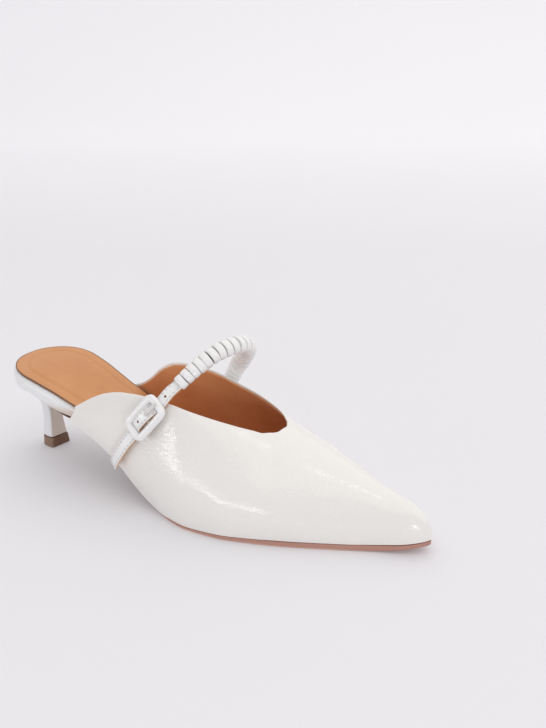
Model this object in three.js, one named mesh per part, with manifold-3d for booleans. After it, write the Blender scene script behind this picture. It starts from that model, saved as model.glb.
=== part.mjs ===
// A right kitten-heel mule with a pointed toe, a buckled strap and a sleeve of leather rings.
// Millimetres. X runs from the heel to the toe, Y to the inner side of the foot, Z up.
// The origin is the middle of the heel tip on the ground.
import * as THREE from 'three';
import { mergeVertices } from 'three/addons/utils/BufferGeometryUtils.js';
import Module from 'manifold-3d';

const wasm = await Module();
wasm.setup();

// Driving dimensions
const toeX = 235.2;           // foremost point of the upper
const toeY = 6.5;             // the toe points a little inwards
const throatX = 157.5;         // front of the foot opening
const rearLowX = 41.5;        // foot of the quarters' rear edge
const rearLean = 6.5;          // how far that edge leans forward at its top
const wallThickness = 1.8;    // upper, leather and lining
const gap = 0.3;              // clearance between pieces that meet
const sockThickness = 1.2;
const liftHeight = 6;
const boardEdgeRadius = 3;
const boardRim = 2;           // white rim of the board round the sock
const boardFrontX = 208;
const sockFrontX = 204;

// Mesh fineness
const quarterSteps = 20;
const vampSteps = 18;
const girthSteps = 9;
const plateSteps = 31;        // along the part that every plate shares
const plateEndSteps = 7;      // towards each end
const plateSpan = { from: 15, to: 200 };
const heelSides = 20;

const material = {
  patent: new THREE.MeshStandardMaterial({ color: 0xe8e5de, roughness: 0.22, metalness: 0 }),
  sock: new THREE.MeshStandardMaterial({ color: 0xd29564, roughness: 0.55, metalness: 0 }),
  sole: new THREE.MeshStandardMaterial({ color: 0xbe8573, roughness: 0.6, metalness: 0 }),
  lift: new THREE.MeshStandardMaterial({ color: 0x6b4a3c, roughness: 0.55, metalness: 0 }),
  ring: new THREE.MeshStandardMaterial({ color: 0xeceae5, roughness: 0.3, metalness: 0 }),
  elastic: new THREE.MeshStandardMaterial({ color: 0x1c1b1b, roughness: 0.9, metalness: 0 }),
};

// Sections of the last from heel to toe. lat and med are the outer and inner feather lines, low their
// height, top the crest over the instep, rise and spread how full the side and the crest are, swell how
// far the side bulges past the feather line.
const lastRows = [
  { x: 30, lat: -27.4, med: 22.5, low: 39.5, topY: -2, top: 84, rise: 0.6, spread: 0.82, swell: 0.3 },
  { x: 45, lat: -27.5, med: 21.0, low: 34.6, topY: -2, top: 88, rise: 0.6, spread: 0.82, swell: 0.8 },
  { x: 60, lat: -27.7, med: 20.6, low: 28.4, topY: -1, top: 90, rise: 0.6, spread: 0.82, swell: 1.4 },
  { x: 75, lat: -28.2, med: 21.4, low: 19.4, topY: 0, top: 89, rise: 0.6, spread: 0.82, swell: 2 },
  { x: 87, lat: -29.2, med: 23.0, low: 9.8, topY: 1, top: 85, rise: 0.58, spread: 0.82, swell: 2.4 },
  { x: 97, lat: -31.0, med: 25.2, low: 4.4, topY: 2, top: 80.5, rise: 0.58, spread: 0.8, swell: 2.4 },
  { x: 110, lat: -34.4, med: 28.8, low: 2.8, topY: 3, top: 73, rise: 0.56, spread: 0.78, swell: 2.2 },
  { x: 124, lat: -36.8, med: 32.6, low: 3.0, topY: 4, top: 65, rise: 0.54, spread: 0.74, swell: 1.9 },
  { x: 140, lat: -35.6, med: 35.8, low: 3.3, topY: 5, top: 56.2, rise: 0.52, spread: 0.66, swell: 1.6 },
  { x: 158, lat: -30.6, med: 36.8, low: 3.3, topY: 6, top: 47.0, rise: 0.5, spread: 0.58, swell: 1.5 },
  { x: 172, lat: -25.4, med: 34.4, low: 3.3, topY: 6.5, top: 42, rise: 0.5, spread: 0.56, swell: 1.4 },
  { x: 186, lat: -19.0, med: 30.0, low: 3.3, topY: 6.5, top: 36.5, rise: 0.5, spread: 0.55, swell: 1.3 },
  { x: 200, lat: -12.4, med: 24.2, low: 3.4, topY: 6.5, top: 31, rise: 0.5, spread: 0.55, swell: 1.2 },
  { x: 212, lat: -6.9, med: 19.0, low: 4.1, topY: 6.5, top: 26.6, rise: 0.5, spread: 0.55, swell: 1.1 },
  { x: 222, lat: -3.2, med: 15.2, low: 5.3, topY: 6.5, top: 23.9, rise: 0.5, spread: 0.55, swell: 1 },
  { x: 235, lat: 0.2, med: 11.6, low: 7.6, topY: 6.5, top: 21.0, rise: 0.5, spread: 0.55, swell: 0.8 },
];

// Height of the topline along the outer and the inner side.
const toplineRows = [
  { x: 41, lat: 41.4, med: 37.6 },
  { x: 48, lat: 45.4, med: 40.4 },
  { x: 54, lat: 49.2, med: 43.0 },
  { x: 61, lat: 53.4, med: 47.9 },
  { x: 70, lat: 57.5, med: 56.2 },
  { x: 80, lat: 59.8, med: 61.0 },
  { x: 92, lat: 60.3, med: 62.0 },
  { x: 106, lat: 59.3, med: 60.0 },
  { x: 120, lat: 56.6, med: 55.4 },
  { x: 134, lat: 52.9, med: 51.6 },
  { x: 148, lat: 48.5, med: 48.2 },
  { x: 154, lat: 47.2, med: 47.2 },
  { x: 157.5, lat: 47.1, med: 47.1 },
];

// Footbed and outsole: sock is the height of the sock's face, board and tread the undersides of the
// board and of the outsole, thick the outsole's thickness.
const bedRows = [
  { x: -18, sock: 56.2, board: 45.2, tread: 43.2, thick: 1.6 },
  { x: 0, sock: 55.0, board: 43.6, tread: 41.7, thick: 1.6 },
  { x: 25, sock: 50.7, board: 39.8, tread: 37.9, thick: 1.6 },
  { x: 40, sock: 46.2, board: 36.2, tread: 34.3, thick: 1.6 },
  { x: 50, sock: 42.8, board: 33.0, tread: 31.1, thick: 1.6 },
  { x: 62, sock: 37.2, board: 28.0, tread: 26.1, thick: 1.6 },
  { x: 75, sock: 29.3, board: 20.4, tread: 18.5, thick: 1.6 },
  { x: 87, sock: 21.2, board: 11.8, tread: 9.9, thick: 1.6 },
  { x: 96, sock: 15.6, board: 5.9, tread: 4.0, thick: 1.6 },
  { x: 104, sock: 11.8, board: 2.9, tread: 0.7, thick: 1.9 },
  { x: 112, sock: 9.4, board: 2.6, tread: 0, thick: 2.3 },
  { x: 124, sock: 7.8, board: 2.9, tread: 0, thick: 2.6 },
  { x: 140, sock: 7.3, board: 3.3, tread: 0, thick: 3 },
  { x: 196, sock: 7.3, board: 3.3, tread: 0, thick: 3 },
  { x: 208, sock: 7.7, board: 3.7, tread: 0.4, thick: 3 },
  { x: 220, sock: 8.6, board: 4.6, tread: 1.6, thick: 2.7 },
  { x: 235, sock: 10.6, board: 6.6, tread: 4.6, thick: 2.2 },
];

// Plan of the sock, its outer and inner edges behind the rounded heel end.
const sockHeelX = -12;
const sockRoundLength = 24;
const sockRows = [
  { x: -14, lat: -23.4, med: 22.4 },
  { x: 12, lat: -24.2, med: 23.2 },
  { x: 25, lat: -24.9, med: 21.3 },
  { x: 40, lat: -24.8, med: 18.5 },
  { x: 50, lat: -24.6, med: 17.0 },
  { x: 75, lat: -25.2, med: 17.8 },
  { x: 97, lat: -27.6, med: 21.6 },
  { x: 124, lat: -33.4, med: 29.0 },
  { x: 158, lat: -27.2, med: 33.2 },
  { x: 186, lat: -15.6, med: 26.4 },
  { x: 208, lat: -5.4, med: 17.4 },
];

// Plan of the outsole, narrow under the waist and full at the ball.
const outsoleBackX = 7.4;
const outsoleTipX = 233.2;
const outsoleRows = [
  { x: 7, lat: -19.0, med: 18.0 },
  { x: 25, lat: -23.4, med: 18.6 },
  { x: 36, lat: -24.6, med: 17.0 },
  { x: 44, lat: -23.0, med: 15.4 },
  { x: 60, lat: -22.0, med: 15.0 },
  { x: 80, lat: -22.6, med: 17.0 },
  { x: 96, lat: -27.6, med: 22.0 },
  { x: 106, lat: -32.6, med: 27.0 },
  { x: 124, lat: -36.9, med: 32.8 },
  { x: 140, lat: -35.8, med: 36.0 },
  { x: 158, lat: -30.9, med: 37.1 },
  { x: 172, lat: -25.7, med: 34.7 },
  { x: 186, lat: -19.4, med: 30.3 },
  { x: 200, lat: -12.8, med: 24.5 },
  { x: 212, lat: -7.3, med: 19.4 },
  { x: 222, lat: -3.4, med: 15.4 },
  { x: 235, lat: 0.4, med: 11.8 },
];

// Heel and top lift from the ground up: back and front of the section, half its width, how square it
// is, and slant, how far the breast turns towards the inner side.
const liftRows = [
  { z: 0, back: -6, front: 5.6, half: 6.3, square: 3, slant: 0.16 },
  { z: liftHeight, back: -5.7, front: 5.2, half: 5.8, square: 3, slant: 0.16 },
];
const heelRows = [
  { z: liftHeight + gap, back: -5.6, front: 5, half: 5.7, square: 3, slant: 0.16 },
  { z: 12, back: -5.3, front: 4.6, half: 5.1, square: 3, slant: 0.15 },
  { z: 19, back: -5.1, front: 4.2, half: 4.7, square: 3, slant: 0.14 },
  { z: 26, back: -5.3, front: 4, half: 5, square: 2.9, slant: 0.12 },
  { z: 30.5, back: -6.3, front: 4, half: 6.8, square: 2.7, slant: 0.09 },
  { z: 34.4, back: -8.2, front: 4.2, half: 9.8, square: 2.5, slant: 0.06 },
  { z: 37.8, back: -10.6, front: 4.7, half: 13.8, square: 2.4, slant: 0.03 },
  { z: 40.7, back: -12.7, front: 5.4, half: 18.6, square: 2.4, slant: 0 },
  { z: 43.3, back: -14, front: 6.2, half: 22.4, square: 2.4, slant: 0 },
];

// Route of the strap from the buckle over the instep to the inner quarter, along the middle of the rings.
const strapRoute = [
  [103.7, -25.8, 60.7],
  [109.9, -18.9, 68.1],
  [115.4, -11.0, 75.4],
  [120.4, -1.8, 80.9],
  [124.6, 8.8, 82.9],
  [125.4, 19.4, 80.2],
  [120.9, 27.2, 73.2],
  [114.0, 30.6, 64.0],
  [108.4, 31.4, 54.6],
  [104.6, 31.0, 46.0],
];
const ringCount = 22;
const ringStart = 12.2;        // along the route, where the rings begin
const ringEnd = 101;           // and where they end
const ringGap = 0.36;
const ringWidth = { start: 7.6, full: 10, end: 8.6 };
const ringDepth = { start: 6.4, full: 8, end: 7.2 };
const ringBore = { width: 6.4, depth: 2.9 };
const ringEdge = 0.35;         // rounding at a ring's edges
const ringSides = 14;
const coreSize = { width: 5.8, depth: 2.2 };

// Buckle on the outer quarter
const buckleCentre = { x: 97.8, z: 51.3 };
const buckleLean = 0.65;       // forward of upright
const buckleTip = 0.08;        // its upper end is pulled inwards by the strap
const buckle = { length: 24.4, width: 14.2, bar: 3.5, depth: 3, corner: 4.2, windowCorner: 1.6, bevel: 0.7 };
const buckleLift = 2.9;        // underside of the frame above the quarter
const centreBar = { radius: 0.8, lift: 3.2 };
const tab = { width: 7, thickness: 0.8, low: -15.5, high: 1.6 };
const prong = { width: 2, thickness: 1.1, from: 1.2, to: 11.4 };
const strap = { width: 6, thickness: 1.1 };
const strapTail = { x: 76.6, z: 21.6, stand: 2.6 };
const anchor = { width: 6, thickness: 1.1, length: 13 };

// Smooth curve through the rows' values of one column, without overshoot.
function column(rows, name, key = 'x') {
  const xs = rows.map((row) => row[key]);
  const ys = rows.map((row) => row[name]);
  const slopes = xs.slice(1).map((x, i) => (ys[i + 1] - ys[i]) / (x - xs[i]));
  const tangents = ys.map((y, i) => {
    if (i === 0) return slopes[0];
    if (i === ys.length - 1) return slopes[i - 1];
    const product = slopes[i - 1] * slopes[i];
    return product <= 0 ? 0 : (2 * product) / (slopes[i - 1] + slopes[i]);
  });
  return (x) => {
    let i = 0;
    while (i < xs.length - 2 && x > xs[i + 1]) i += 1;
    const span = xs[i + 1] - xs[i];
    const t = Math.min(Math.max((x - xs[i]) / span, -0.5), 1.5);
    const t2 = t * t;
    const t3 = t2 * t;
    const from = (2 * t3 - 3 * t2 + 1) * ys[i] + (t3 - 2 * t2 + t) * span * tangents[i];
    return from + (3 * t2 - 2 * t3) * ys[i + 1] + (t3 - t2) * span * tangents[i + 1];
  };
}

function columns(rows, names, key) {
  return Object.fromEntries(names.map((name) => [name, column(rows, name, key)]));
}

const last = columns(lastRows, ['lat', 'med', 'low', 'topY', 'top', 'rise', 'spread', 'swell']);
const topline = columns(toplineRows, ['lat', 'med']);
const bed = columns(bedRows, ['sock', 'board', 'tread', 'thick']);
const sockPlan = columns(sockRows, ['lat', 'med']);
const outsolePlan = columns(outsoleRows, ['lat', 'med']);

const mix = (a, b, t) => a + (b - a) * t;
const bezier = (a, b, c, d, t) => {
  const s = 1 - t;
  return s * s * s * a + 3 * s * s * t * b + 3 * s * t * t * c + t * t * t * d;
};

// Rounds a plan to a nose: 1 until the cap starts, 0 at the tip.
function capScale(x, start, tip) {
  if (x <= start) return 1;
  const u = Math.min((x - start) / (tip - start), 1);
  return Math.sqrt(1 - u * u);
}

const toeCapStart = 221;

// A point of the upper at length x, on one side, at share t of the way from feather line to crest.
// inset moves it inwards from the outer face.
function upperPoint(x, side, t, inset) {
  const tip = toeX - inset * 1.2;
  const shrink = capScale(x, toeCapStart, tip);
  const feather = side < 0 ? last.lat(x) + inset : last.med(x) - inset;
  const low = last.low(x);
  const middle = mix(last.topY(x), toeY, x > toeCapStart ? 1 : 0);
  const high = last.top(x) - inset;
  const half = feather - middle;
  const y = bezier(half, half + side * last.swell(x), half * last.spread(x), 0, t);
  const z = bezier(0, (high - low) * last.rise(x), high - low, high - low, t);
  return new THREE.Vector3(x, middle + y * shrink, low + z * Math.pow(shrink, 0.85));
}

// Share t at which the side reaches height z.
function shareAtHeight(x, side, z, inset = 0) {
  let a = 0;
  let b = 1;
  for (let i = 0; i < 40; i += 1) {
    const mid = (a + b) / 2;
    if (upperPoint(x, side, mid, inset).z < z) a = mid;
    else b = mid;
  }
  return (a + b) / 2;
}

// Outer face of the quarter at length x and height z, with its outward normal.
function quarterFace(side, x, z) {
  const step = 0.5;
  const at = (px, pz) => upperPoint(px, side, shareAtHeight(px, side, pz), 0);
  const point = at(x, z);
  const along = at(x + step, z).sub(at(x - step, z));
  const upward = at(x, z + step).sub(at(x, z - step));
  const normal = new THREE.Vector3().crossVectors(along, upward).normalize();
  if (normal.y * side < 0) normal.negate();
  return { point, normal };
}

// Collects triangles as shared points, dropping those that fold to a line.
class Skin {
  constructor() {
    this.points = [];
    this.faces = [];
    this.seen = new Map();
  }

  add(p) {
    const key = [p.x, p.y, p.z].map((v) => Math.round(v * 1000)).join();
    if (!this.seen.has(key)) {
      this.seen.set(key, this.points.length);
      this.points.push(p);
    }
    return this.seen.get(key);
  }

  triangle(a, b, c) {
    if (a !== b && b !== c && a !== c) this.faces.push(a, b, c);
  }

  quad(a, b, c, d) {
    const [i, j, k, l] = [a, b, c, d].map((p) => this.add(p));
    this.triangle(i, j, k);
    this.triangle(i, k, l);
  }

  // A strip between two rows of points, facing out when the rows run left over right.
  strip(low, high, closed = false) {
    const count = low.length - (closed ? 0 : 1);
    for (let i = 0; i < count; i += 1) {
      const j = (i + 1) % low.length;
      this.quad(low[i], low[j], high[j], high[i]);
    }
  }

  fan(loop) {
    const middle = loop.reduce((sum, p) => sum.add(p), new THREE.Vector3()).divideScalar(loop.length);
    const centre = this.add(middle);
    for (let i = 0; i < loop.length; i += 1) {
      this.triangle(centre, this.add(loop[i]), this.add(loop[(i + 1) % loop.length]));
    }
  }

  geometry() {
    const flat = this.points.flatMap((p) => [p.x, p.y, p.z]);
    const geometry = new THREE.BufferGeometry();
    geometry.setAttribute('position', new THREE.Float32BufferAttribute(flat, 3));
    geometry.setIndex(this.volume() < 0 ? this.reversed() : this.faces);
    geometry.computeVertexNormals();
    return geometry;
  }

  volume() {
    let sum = 0;
    for (let i = 0; i < this.faces.length; i += 3) {
      const [a, b, c] = [0, 1, 2].map((k) => this.points[this.faces[i + k]]);
      sum += a.dot(new THREE.Vector3().crossVectors(b, c));
    }
    return sum;
  }

  reversed() {
    const out = [];
    for (let i = 0; i < this.faces.length; i += 3) {
      out.push(this.faces[i], this.faces[i + 2], this.faces[i + 1]);
    }
    return out;
  }
}

// A closed solid from loops of points, one after another, with flat ends.
function loft(loops) {
  const skin = new Skin();
  for (let i = 0; i < loops.length - 1; i += 1) skin.strip(loops[i], loops[i + 1], true);
  skin.fan([...loops[0]].reverse());
  skin.fan(loops[loops.length - 1]);
  return skin.geometry();
}

// The upper: two halves that meet at the crest ahead of the throat, with an inner face, and strips
// that close the feather line, the rear edges and the topline.
function upperGeometry() {
  const skin = new Skin();
  const stations = upperStations();
  const throat = quarterSteps;
  for (const side of [-1, 1]) {
    const outer = stations.map((s) => upperColumn(s, side, 0));
    const inner = stations.map((s) => upperColumn(s, side, wallThickness));
    const wind = (rows) => (side < 0 ? rows : rows.map((row) => [...row].reverse()));
    const outside = wind(outer);
    const inside = wind(inner);
    for (let i = 0; i < stations.length - 1; i += 1) {
      skin.strip(outside[i + 1], outside[i]);
      skin.strip(inside[i], inside[i + 1]);
    }
    const edges = [
      [outer.map((row) => row[0]), inner.map((row) => row[0])],
      [[...outer[0]].reverse(), [...inner[0]].reverse()],
      [
        outer.slice(0, throat + 1).map((row) => row[girthSteps]).reverse(),
        inner.slice(0, throat + 1).map((row) => row[girthSteps]).reverse(),
      ],
    ];
    for (const [a, b] of edges) {
      if (side < 0) skin.strip(b, a);
      else skin.strip(a, b);
    }
  }
  return skin.geometry();
}

// Stations close up towards the throat, where the topline turns, and towards the toe.
function upperStations() {
  const stations = [];
  for (let i = 0; i <= quarterSteps; i += 1) {
    const u = 1 - i / quarterSteps;
    stations.push({ share: 1 - i / quarterSteps, x: throatX - (throatX - rearLowX) * Math.pow(u, 1.6) });
  }
  for (let i = 1; i <= vampSteps; i += 1) {
    const u = i / vampSteps;
    stations.push({ share: 0, nose: u, x: mix(throatX, toeX, Math.sin((u * Math.PI) / 2)) });
  }
  return stations;
}

function upperColumn(station, side, inset) {
  const points = [];
  const tip = toeX - inset * 1.2;
  const base = station.nose ? mix(throatX, tip, Math.sin((station.nose * Math.PI) / 2)) : station.x;
  const lean = rearLean * Math.pow(station.share, 3);
  for (let j = 0; j <= girthSteps; j += 1) {
    const u = j / girthSteps;
    const x = base + lean * u;
    const end = station.x < throatX ? shareAtHeight(x, side, collarHeight(x, side)) : 1;
    points.push(upperPoint(x, side, u * end, inset));
  }
  return points;
}

function collarHeight(x, side) {
  return side < 0 ? topline.lat(x) : topline.med(x);
}

// A flat piece that follows the foot: plan edges and heights are functions of x, the section has
// rounded upper edges of the given radius.
function plateGeometry({ from, to, plan, bottom, top, radius, noseStart, heelLength, tipY }) {
  const loops = [];
  for (const x of plateStations(from, to)) {
    const back = heelLength ? heelScale(x - from, heelLength) : 1;
    const scale = (noseStart ? capScale(x, noseStart, to) : 1) * back;
    const centre = tipY !== undefined && x > noseStart ? tipY : 0;
    const edges = [plan.lat(x), plan.med(x)].map((y) => centre + (y - centre) * Math.max(scale, 0.02));
    loops.push(plateLoop(x, edges, bottom(x), top(x), radius * Math.min(1, scale * 2)));
  }
  return loft(loops);
}

// Plates share their stations between their ends, so that stacked faces stay parallel.
function plateStations(from, to) {
  const stations = [];
  for (let i = 0; i < plateEndSteps; i += 1) {
    stations.push(mix(from, plateSpan.from, 1 - Math.cos((i / plateEndSteps) * (Math.PI / 2))));
  }
  for (let i = 0; i <= plateSteps; i += 1) stations.push(mix(plateSpan.from, plateSpan.to, i / plateSteps));
  for (let i = 1; i <= plateEndSteps; i += 1) {
    stations.push(mix(plateSpan.to, to, Math.sin((i / plateEndSteps) * (Math.PI / 2))));
  }
  return stations;
}

// Rounds the heel end: 0 at its back, 1 where the sides run straight.
function heelScale(distance, length) {
  const u = Math.max(1 - distance / length, 0);
  return Math.pow(1 - Math.pow(u, 2.1), 1 / 2.1);
}

function plateLoop(x, [lat, med], bottom, top, radius) {
  const r = Math.min(radius, (top - bottom) * 0.6, (med - lat) * 0.3);
  const loop = [new THREE.Vector3(x, lat + r * 0.4, bottom), new THREE.Vector3(x, med - r * 0.4, bottom)];
  const turns = [0, 0.33, 0.67, 1];
  loop.push(new THREE.Vector3(x, med, mix(bottom, top - r, 0.5)));
  for (const u of turns) {
    const a = (u * Math.PI) / 2;
    loop.push(new THREE.Vector3(x, med - r + r * Math.cos(a), top - r + r * Math.sin(a)));
  }
  for (const u of [...turns].reverse()) {
    const a = (u * Math.PI) / 2;
    loop.push(new THREE.Vector3(x, lat + r - r * Math.cos(a), top - r + r * Math.sin(a)));
  }
  loop.push(new THREE.Vector3(x, lat, mix(bottom, top - r, 0.5)));
  return loop;
}

function sockGeometry() {
  return plateGeometry({
    from: sockHeelX,
    to: sockFrontX,
    plan: sockPlan,
    bottom: (x) => bed.sock(x) - sockThickness,
    top: bed.sock,
    radius: 0.3,
    heelLength: sockRoundLength,
  });
}

// The board is wrapped in white leather. Its rim shows round the sock at the heel, and ahead of the
// quarters' rear edge it lies inside the upper.
function boardGeometry() {
  const insideLat = (x) => last.lat(x) + wallThickness + gap;
  const insideMed = (x) => last.med(x) - wallThickness - gap;
  const enter = (x) => Math.min(Math.max((x - rearLowX + 8) / 7, 0), 1);
  const plan = {
    lat: (x) => mix(sockPlan.lat(x) - boardRim, Math.max(insideLat(x), sockPlan.lat(x) - boardRim), enter(x)),
    med: (x) => mix(sockPlan.med(x) + boardRim, Math.min(insideMed(x), sockPlan.med(x) + boardRim), enter(x)),
  };
  return plateGeometry({
    from: sockHeelX - boardRim,
    to: boardFrontX,
    plan,
    bottom: bed.board,
    top: (x) => bed.sock(x) - sockThickness - gap,
    radius: boardEdgeRadius,
    heelLength: sockRoundLength + 1,
  });
}

function outsoleGeometry() {
  return plateGeometry({
    from: outsoleBackX,
    to: outsoleTipX,
    plan: outsolePlan,
    bottom: bed.tread,
    top: (x) => bed.tread(x) + bed.thick(x),
    radius: 0.2,
    noseStart: 219,
    tipY: toeY,
  });
}

// A heel section: flat across the breast, rounded at the back.
function heelLoop(row, top) {
  const loop = [];
  const corner = 0.8;
  for (let i = 0; i <= heelSides; i += 1) {
    const a = mix(-Math.PI / 2, Math.PI / 2, i / heelSides);
    const c = Math.pow(Math.abs(Math.cos(a)), 2 / row.square);
    const s = Math.sign(Math.sin(a)) * Math.pow(Math.abs(Math.sin(a)), 2 / row.square);
    const x = row.front - corner - (row.front - corner - row.back) * c;
    loop.push(new THREE.Vector3(x, row.half * s, top ? top(x) : row.z));
  }
  const frontZ = top ? top(row.front) : row.z;
  loop.push(new THREE.Vector3(row.front, row.half - corner, frontZ));
  loop.push(new THREE.Vector3(row.front, corner - row.half, frontZ));
  for (const p of loop) p.x += row.slant * p.y * ((p.x - row.back) / (row.front - row.back));
  return loop;
}

function heelGeometry() {
  const seat = (x) => bed.board(x) - gap;
  return loft(heelRows.map((row, i) => heelLoop(row, i === heelRows.length - 1 ? seat : null)));
}

function liftGeometry() {
  return loft(liftRows.map((row) => heelLoop(row, null)));
}

// The route as a smooth curve with a frame at each length: forward along it, across its width, and out.
const routeCurve = new THREE.CatmullRomCurve3(strapRoute.map((p) => new THREE.Vector3(...p)), false, 'centripetal');
const routeLength = routeCurve.getLength();

function routeFrame(distance) {
  const u = Math.min(Math.max(distance / routeLength, 0), 1);
  const point = routeCurve.getPointAt(u);
  const forward = routeCurve.getTangentAt(u);
  const footMiddle = new THREE.Vector3(mix(112, 104, u), 4, 52);
  const out = point.clone().sub(footMiddle);
  out.addScaledVector(forward, -out.dot(forward)).normalize();
  const across = new THREE.Vector3().crossVectors(out, forward).normalize();
  return { point, forward, across, out };
}

function ovalLoop(frame, width, depth, sides) {
  const loop = [];
  for (let i = 0; i < sides; i += 1) {
    const a = (i / sides) * Math.PI * 2;
    const p = frame.point.clone();
    p.addScaledVector(frame.across, (Math.cos(a) * width) / 2);
    p.addScaledVector(frame.out, (Math.sin(a) * depth) / 2);
    loop.push(p);
  }
  return loop;
}

// Width and depth of the sleeve of rings swell from both ends.
function ringSize(share) {
  const grow = Math.sin(Math.min(share / 0.45, 1) * (Math.PI / 2));
  const fall = Math.sin(Math.min((1 - share) / 0.3, 1) * (Math.PI / 2));
  const size = (s) => mix(s.start, s.full, grow) - (s.full - s.end) * (1 - fall);
  return { width: size(ringWidth), depth: size(ringDepth) };
}

function ringGeometry(index) {
  const pitch = (ringEnd - ringStart) / ringCount;
  const from = ringStart + index * pitch + ringGap / 2;
  const to = from + pitch - ringGap;
  const size = ringSize((index + 0.5) / ringCount);
  const outer = [from, from + ringEdge, to - ringEdge, to].map((d, k) => {
    const less = k === 0 || k === 3 ? ringEdge * 2 : 0;
    return ovalLoop(routeFrame(d), size.width - less, size.depth - less, ringSides);
  });
  const bore = [from, to].map((d) => ovalLoop(routeFrame(d), ringBore.width, ringBore.depth, ringSides));
  const skin = new Skin();
  for (let k = 0; k < 3; k += 1) skin.strip(outer[k], outer[k + 1], true);
  skin.strip(outer[3], bore[1], true);
  skin.strip(bore[1], bore[0], true);
  skin.strip(bore[0], outer[0], true);
  return skin.geometry();
}

// The elastic core runs through every ring.
function coreGeometry() {
  const steps = 36;
  const loops = [];
  for (let i = 0; i <= steps; i += 1) {
    const d = mix(ringStart + gap / 2, ringEnd, i / steps);
    loops.push(ovalLoop(routeFrame(d), coreSize.width, coreSize.depth, 10));
  }
  return loft(loops);
}

// Buckle frame of reference: along the strap, across it, and out of the quarter.
const buckleBasis = makeBuckleBasis();

function makeBuckleBasis() {
  const { point, normal } = quarterFace(-1, buckleCentre.x, buckleCentre.z);
  const along = new THREE.Vector3(Math.sin(buckleLean), 0, Math.cos(buckleLean));
  along.addScaledVector(normal, -along.dot(normal)).normalize();
  const across = new THREE.Vector3().crossVectors(along, normal).normalize();
  along.multiplyScalar(Math.cos(buckleTip)).addScaledVector(normal, -Math.sin(buckleTip));
  const out = new THREE.Vector3().crossVectors(across, along).normalize();
  return { point, along, across, out };
}

function buckleMatrix(lift) {
  const { point, along, across, out } = buckleBasis;
  const origin = point.clone().addScaledVector(out, lift);
  return new THREE.Matrix4().makeBasis(across, along, out).setPosition(origin);
}

// A place in the buckle's frame, lift above its base plane.
function inBuckleFrame(along, lift) {
  return new THREE.Vector3(0, along, lift).applyMatrix4(buckleMatrix(0));
}

function roundedRectangle(shape, width, length, corner) {
  const w = width / 2;
  const l = length / 2;
  shape.moveTo(-w + corner, -l);
  shape.lineTo(w - corner, -l);
  shape.quadraticCurveTo(w, -l, w, -l + corner);
  shape.lineTo(w, l - corner);
  shape.quadraticCurveTo(w, l, w - corner, l);
  shape.lineTo(-w + corner, l);
  shape.quadraticCurveTo(-w, l, -w, l - corner);
  shape.lineTo(-w, -l + corner);
  shape.quadraticCurveTo(-w, -l, -w + corner, -l);
  return shape;
}

function toManifold(geometry) {
  const plain = geometry.clone();
  plain.deleteAttribute('normal');
  plain.deleteAttribute('uv');
  const merged = mergeVertices(plain, 1e-4);
  return new wasm.Manifold(new wasm.Mesh({
    numProp: 3,
    vertProperties: new Float32Array(merged.attributes.position.array),
    triVerts: new Uint32Array(merged.index.array),
  }));
}

function fromManifold(solid) {
  const mesh = solid.getMesh();
  const geometry = new THREE.BufferGeometry();
  geometry.setAttribute('position', new THREE.BufferAttribute(mesh.vertProperties, 3));
  geometry.setIndex(new THREE.BufferAttribute(mesh.triVerts, 1));
  geometry.computeVertexNormals();
  return geometry;
}

// A bevelled frame with one window, crossed by a thin round bar at mid length.
function buckleGeometry() {
  const shape = roundedRectangle(
    new THREE.Shape(), buckle.width - 2 * buckle.bevel, buckle.length - 2 * buckle.bevel, buckle.corner);
  const window = roundedRectangle(
    new THREE.Path(), buckle.width - 2 * buckle.bar + 2 * buckle.bevel,
    buckle.length - 2 * buckle.bar + 2 * buckle.bevel, buckle.windowCorner);
  shape.holes.push(window);
  const frame = new THREE.ExtrudeGeometry(shape, {
    depth: buckle.depth - 2 * buckle.bevel,
    bevelEnabled: true,
    bevelThickness: buckle.bevel,
    bevelSize: buckle.bevel,
    bevelSegments: 2,
    curveSegments: 5,
  });
  frame.translate(0, 0, buckle.bevel + buckleLift);
  const bar = new THREE.CylinderGeometry(centreBar.radius, centreBar.radius, buckle.width - buckle.bar, 10);
  bar.rotateZ(Math.PI / 2);
  bar.translate(0, 0, centreBar.lift + centreBar.radius / 2);
  return fromManifold(toManifold(frame).add(toManifold(bar))).applyMatrix4(buckleMatrix(0));
}

// A band along a list of stops, each with a place, a width direction and an outward direction.
function bandGeometry(stops, width, thickness) {
  return loft(stops.map(({ point, across, out }) => [[-1, 0], [1, 0], [1, 1], [-1, 1]].map(([w, t]) => {
    const p = point.clone().addScaledVector(across, (w * width) / 2);
    return p.addScaledVector(out, t * thickness);
  })));
}

// The flat strap: free tail, under the lower bar, over the centre bar, under the upper bar, then up
// to the first ring.
function strapStops() {
  const { across, out } = buckleBasis;
  const under = buckleLift - gap - strap.thickness;
  const over = centreBar.lift + centreBar.radius * 1.5 + gap;
  const reach = buckle.length / 2;
  const inBuckle = [
    [-reach - 2.6, under], [-reach, under], [-reach + 3.4, under + 0.1], [-5.9, mix(under, over, 0.5)],
    [-3.4, mix(under, over, 0.92)], [-1.2, over], [1.2, over], [3.4, mix(under, over, 0.92)],
    [5.9, mix(under, over, 0.5)], [reach - 3.4, under + 0.1], [reach - 1, under],
  ].map(([along, lift]) => ({ point: inBuckleFrame(along, lift), across, out }));
  return [...tailStops(inBuckle[0]), ...inBuckle, ...risingStops(inBuckle[inBuckle.length - 1])];
}

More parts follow.
